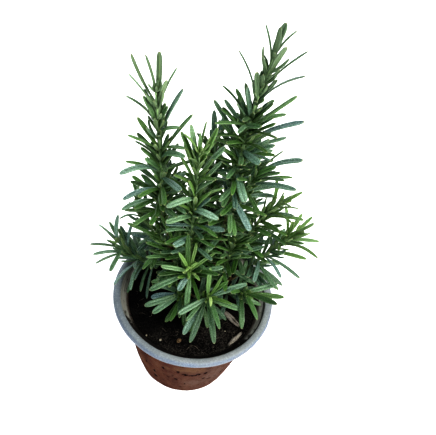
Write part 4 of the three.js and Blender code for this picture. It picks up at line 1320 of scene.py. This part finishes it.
def tube(path, radii, step, squareness=0.0, seed=0.0, lumps=0.0, sides=10):
    """(points, faces, along) of a closed stem with a squarish section and small lumps."""
    count = max(4, int(length_of(path) / step))
    spine = [station(path, i / count) for i in range(count + 1)]

    def size(i, angle, out):
        radius = radii[0] + (radii[1] - radii[0]) * i / count
        square = 1 + squareness * math.cos(4 * angle)
        return radius * square * (1 + lumps * rough(spine[i][0] + out * radius, 2.2, seed))

    points, faces = [], []
    sweep(points, faces, spine, sides, size)
    return points, faces, [i / count for i in range(count + 1) for _ in range(sides)]


def rooted(path):
    """The shoot's path, taken back into the nearest woody stem or the tallest shoot."""
    stems = [stem["path"] for stem in STEMS.values()] + [SHOOTS["leader_right"]["path"]]
    spots = [point_on(stem, t) for stem in stems for t in np.linspace(0, 1, 60)]
    lower = [spot for spot in spots if spot[2] < path[0][2] - 0.8]
    nearest = min(lower, key=lambda spot: np.linalg.norm(spot - path[0]))
    return [tuple(nearest), *path]


def leaf_looks(name, leaf, order, i):
    """A leaf's tone, youth, grey-blue bloom with painted sheen, and ashen, from its size, its place and
    its shoot.
    """
    tall = name == "leader_right"
    if tall and leaf.width <= 3 and leaf.fresh == 0:
        return {"tone": 0.1, "youth": 0.0, "bloom_and_sheen": 0.2, "ashen": 0.0}
    tone = 0.5 + 0.5 * jitter(order, i, 6)
    if tall and leaf.young > 0.7:
        tone *= 0.4
    young = max(0.0, (leaf.young - 0.72) / 0.28) * clamp((30 - leaf.length) / 14)
    youth = max(young, leaf.fresh) * (1.0 if name in FRONT_SHOOTS else 0.5) + 0.15 * jitter(order, i, 7)
    if name in FRESH_SHOOTS and leaf.young > 0.5:
        youth += 0.3
    broad = clamp((leaf.width - 4.3) / 0.9)
    # Broad leaves get more grey-blue bloom with painted sheen.
    bloom_and_sheen = (0.75 if "leader" in name else 0.45) * broad + 0.6 * max(0.0, jitter(order, i, 8))
    grey_sheen, up_to = GREY_SHEEN_SHOOTS.get(name, (0, 0))
    if leaf.young <= up_to:
        bloom_and_sheen += grey_sheen
    ashen = ASHEN_SHOOTS.get(name, 0.0) * max(0.0, leaf.young - 0.6) / 0.4
    return {"tone": tone, "youth": max(0.0, youth), "bloom_and_sheen": min(1.0, bloom_and_sheen), "ashen": ashen}


def build_shoot(name, order, shoot, leaves, materials):
    path = rooted(shoot["path"])
    points, faces, along = tube(path, shoot["radii"], step=1.6, squareness=0.08, seed=order, lumps=0.12)
    slots = [1] * len(faces)
    data = {key: [0.5 if key == "tone" else 0.0] * len(points) for key in LEAF_LOOKS}
    data["along"] = along
    ring, rings = len(LEAF_SECTION), len(LEAF_RINGS)
    section = [(t, abs(across), under) for t in LEAF_RINGS for across, _, under in LEAF_SECTION]
    section.append((1.0, 0.0, 0.5))
    for i, leaf in enumerate(leaves):
        start = len(points)
        points.extend(leaf_points(leaf, order * 100 + i))
        tip = len(points) - 1
        body = grid_faces(rings, ring, start)
        body.append(tuple(range(start, start + ring)))
        body += [(tip - ring + j, tip - ring + (j + 1) % ring, tip) for j in range(ring)]
        faces += [face[::-1] for face in body]
        slots += [0] * len(body)
        for key, values in zip(LEAF_LOOKS, zip(*section)):
            data[key].extend(values)
        for key, value in leaf_looks(name, leaf, order, i).items():
            data[key] += [value] * len(section)
    title = name.replace("shoot", "sprig").replace("leader", "tall_sprig")
    return new_object(title, points, faces, materials, slots, data)


# ---------------------------------------------------------------- the whole plant


def stand_for(piece, node):
    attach(piece, "root")
    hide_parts(node)


def build_all():
    random = np.random.default_rng(SEED)
    bark = bark_material()
    stand_for(build_pot([clay_material(), glaze_material(), inner_wall_material()]), "pot")
    soil = soil_material("soil", "050404", "47433e")
    stand_for(build_soil(soil), "soil")
    for piece in (build_crumbs(soil_material("crumbs", "080707", "69645c"), random),
                  build_fibres(fibre_material(), random)):
        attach(piece, "root")
    perlite, crumb, dead_wood = perlite_material(), crumb_material(), dead_wood_material()
    for order, (name, spec) in enumerate(GRAINS.items()):
        white = name.startswith("perlite")
        piece = build_grain(name, spec, order, perlite if white else crumb)
        stand_for(piece, name)
    for order, (name, spec) in enumerate(SLIVERS.items()):
        stand_for(build_sliver(name, spec, order, dead_wood), name)
    for order, (name, stem) in enumerate(STEMS.items()):
        points, faces, along = tube(**stem, step=0.9, seed=order * 5.0, lumps=0.3, sides=14)
        title = name.replace("stem", "woody_stem")
        piece = new_object(title, points, faces, [bark], None, {"along": along})
        stand_for(piece, name)
    leaf, green = leaf_material(), shoot_material()
    for order, (name, leaves) in enumerate(grow().items()):
        stand_for(build_shoot(name, order, SHOOTS[name], leaves, [leaf, green]), name)


add_camera()
add_studio()
build_all()
bpy.context.view_layer.update()
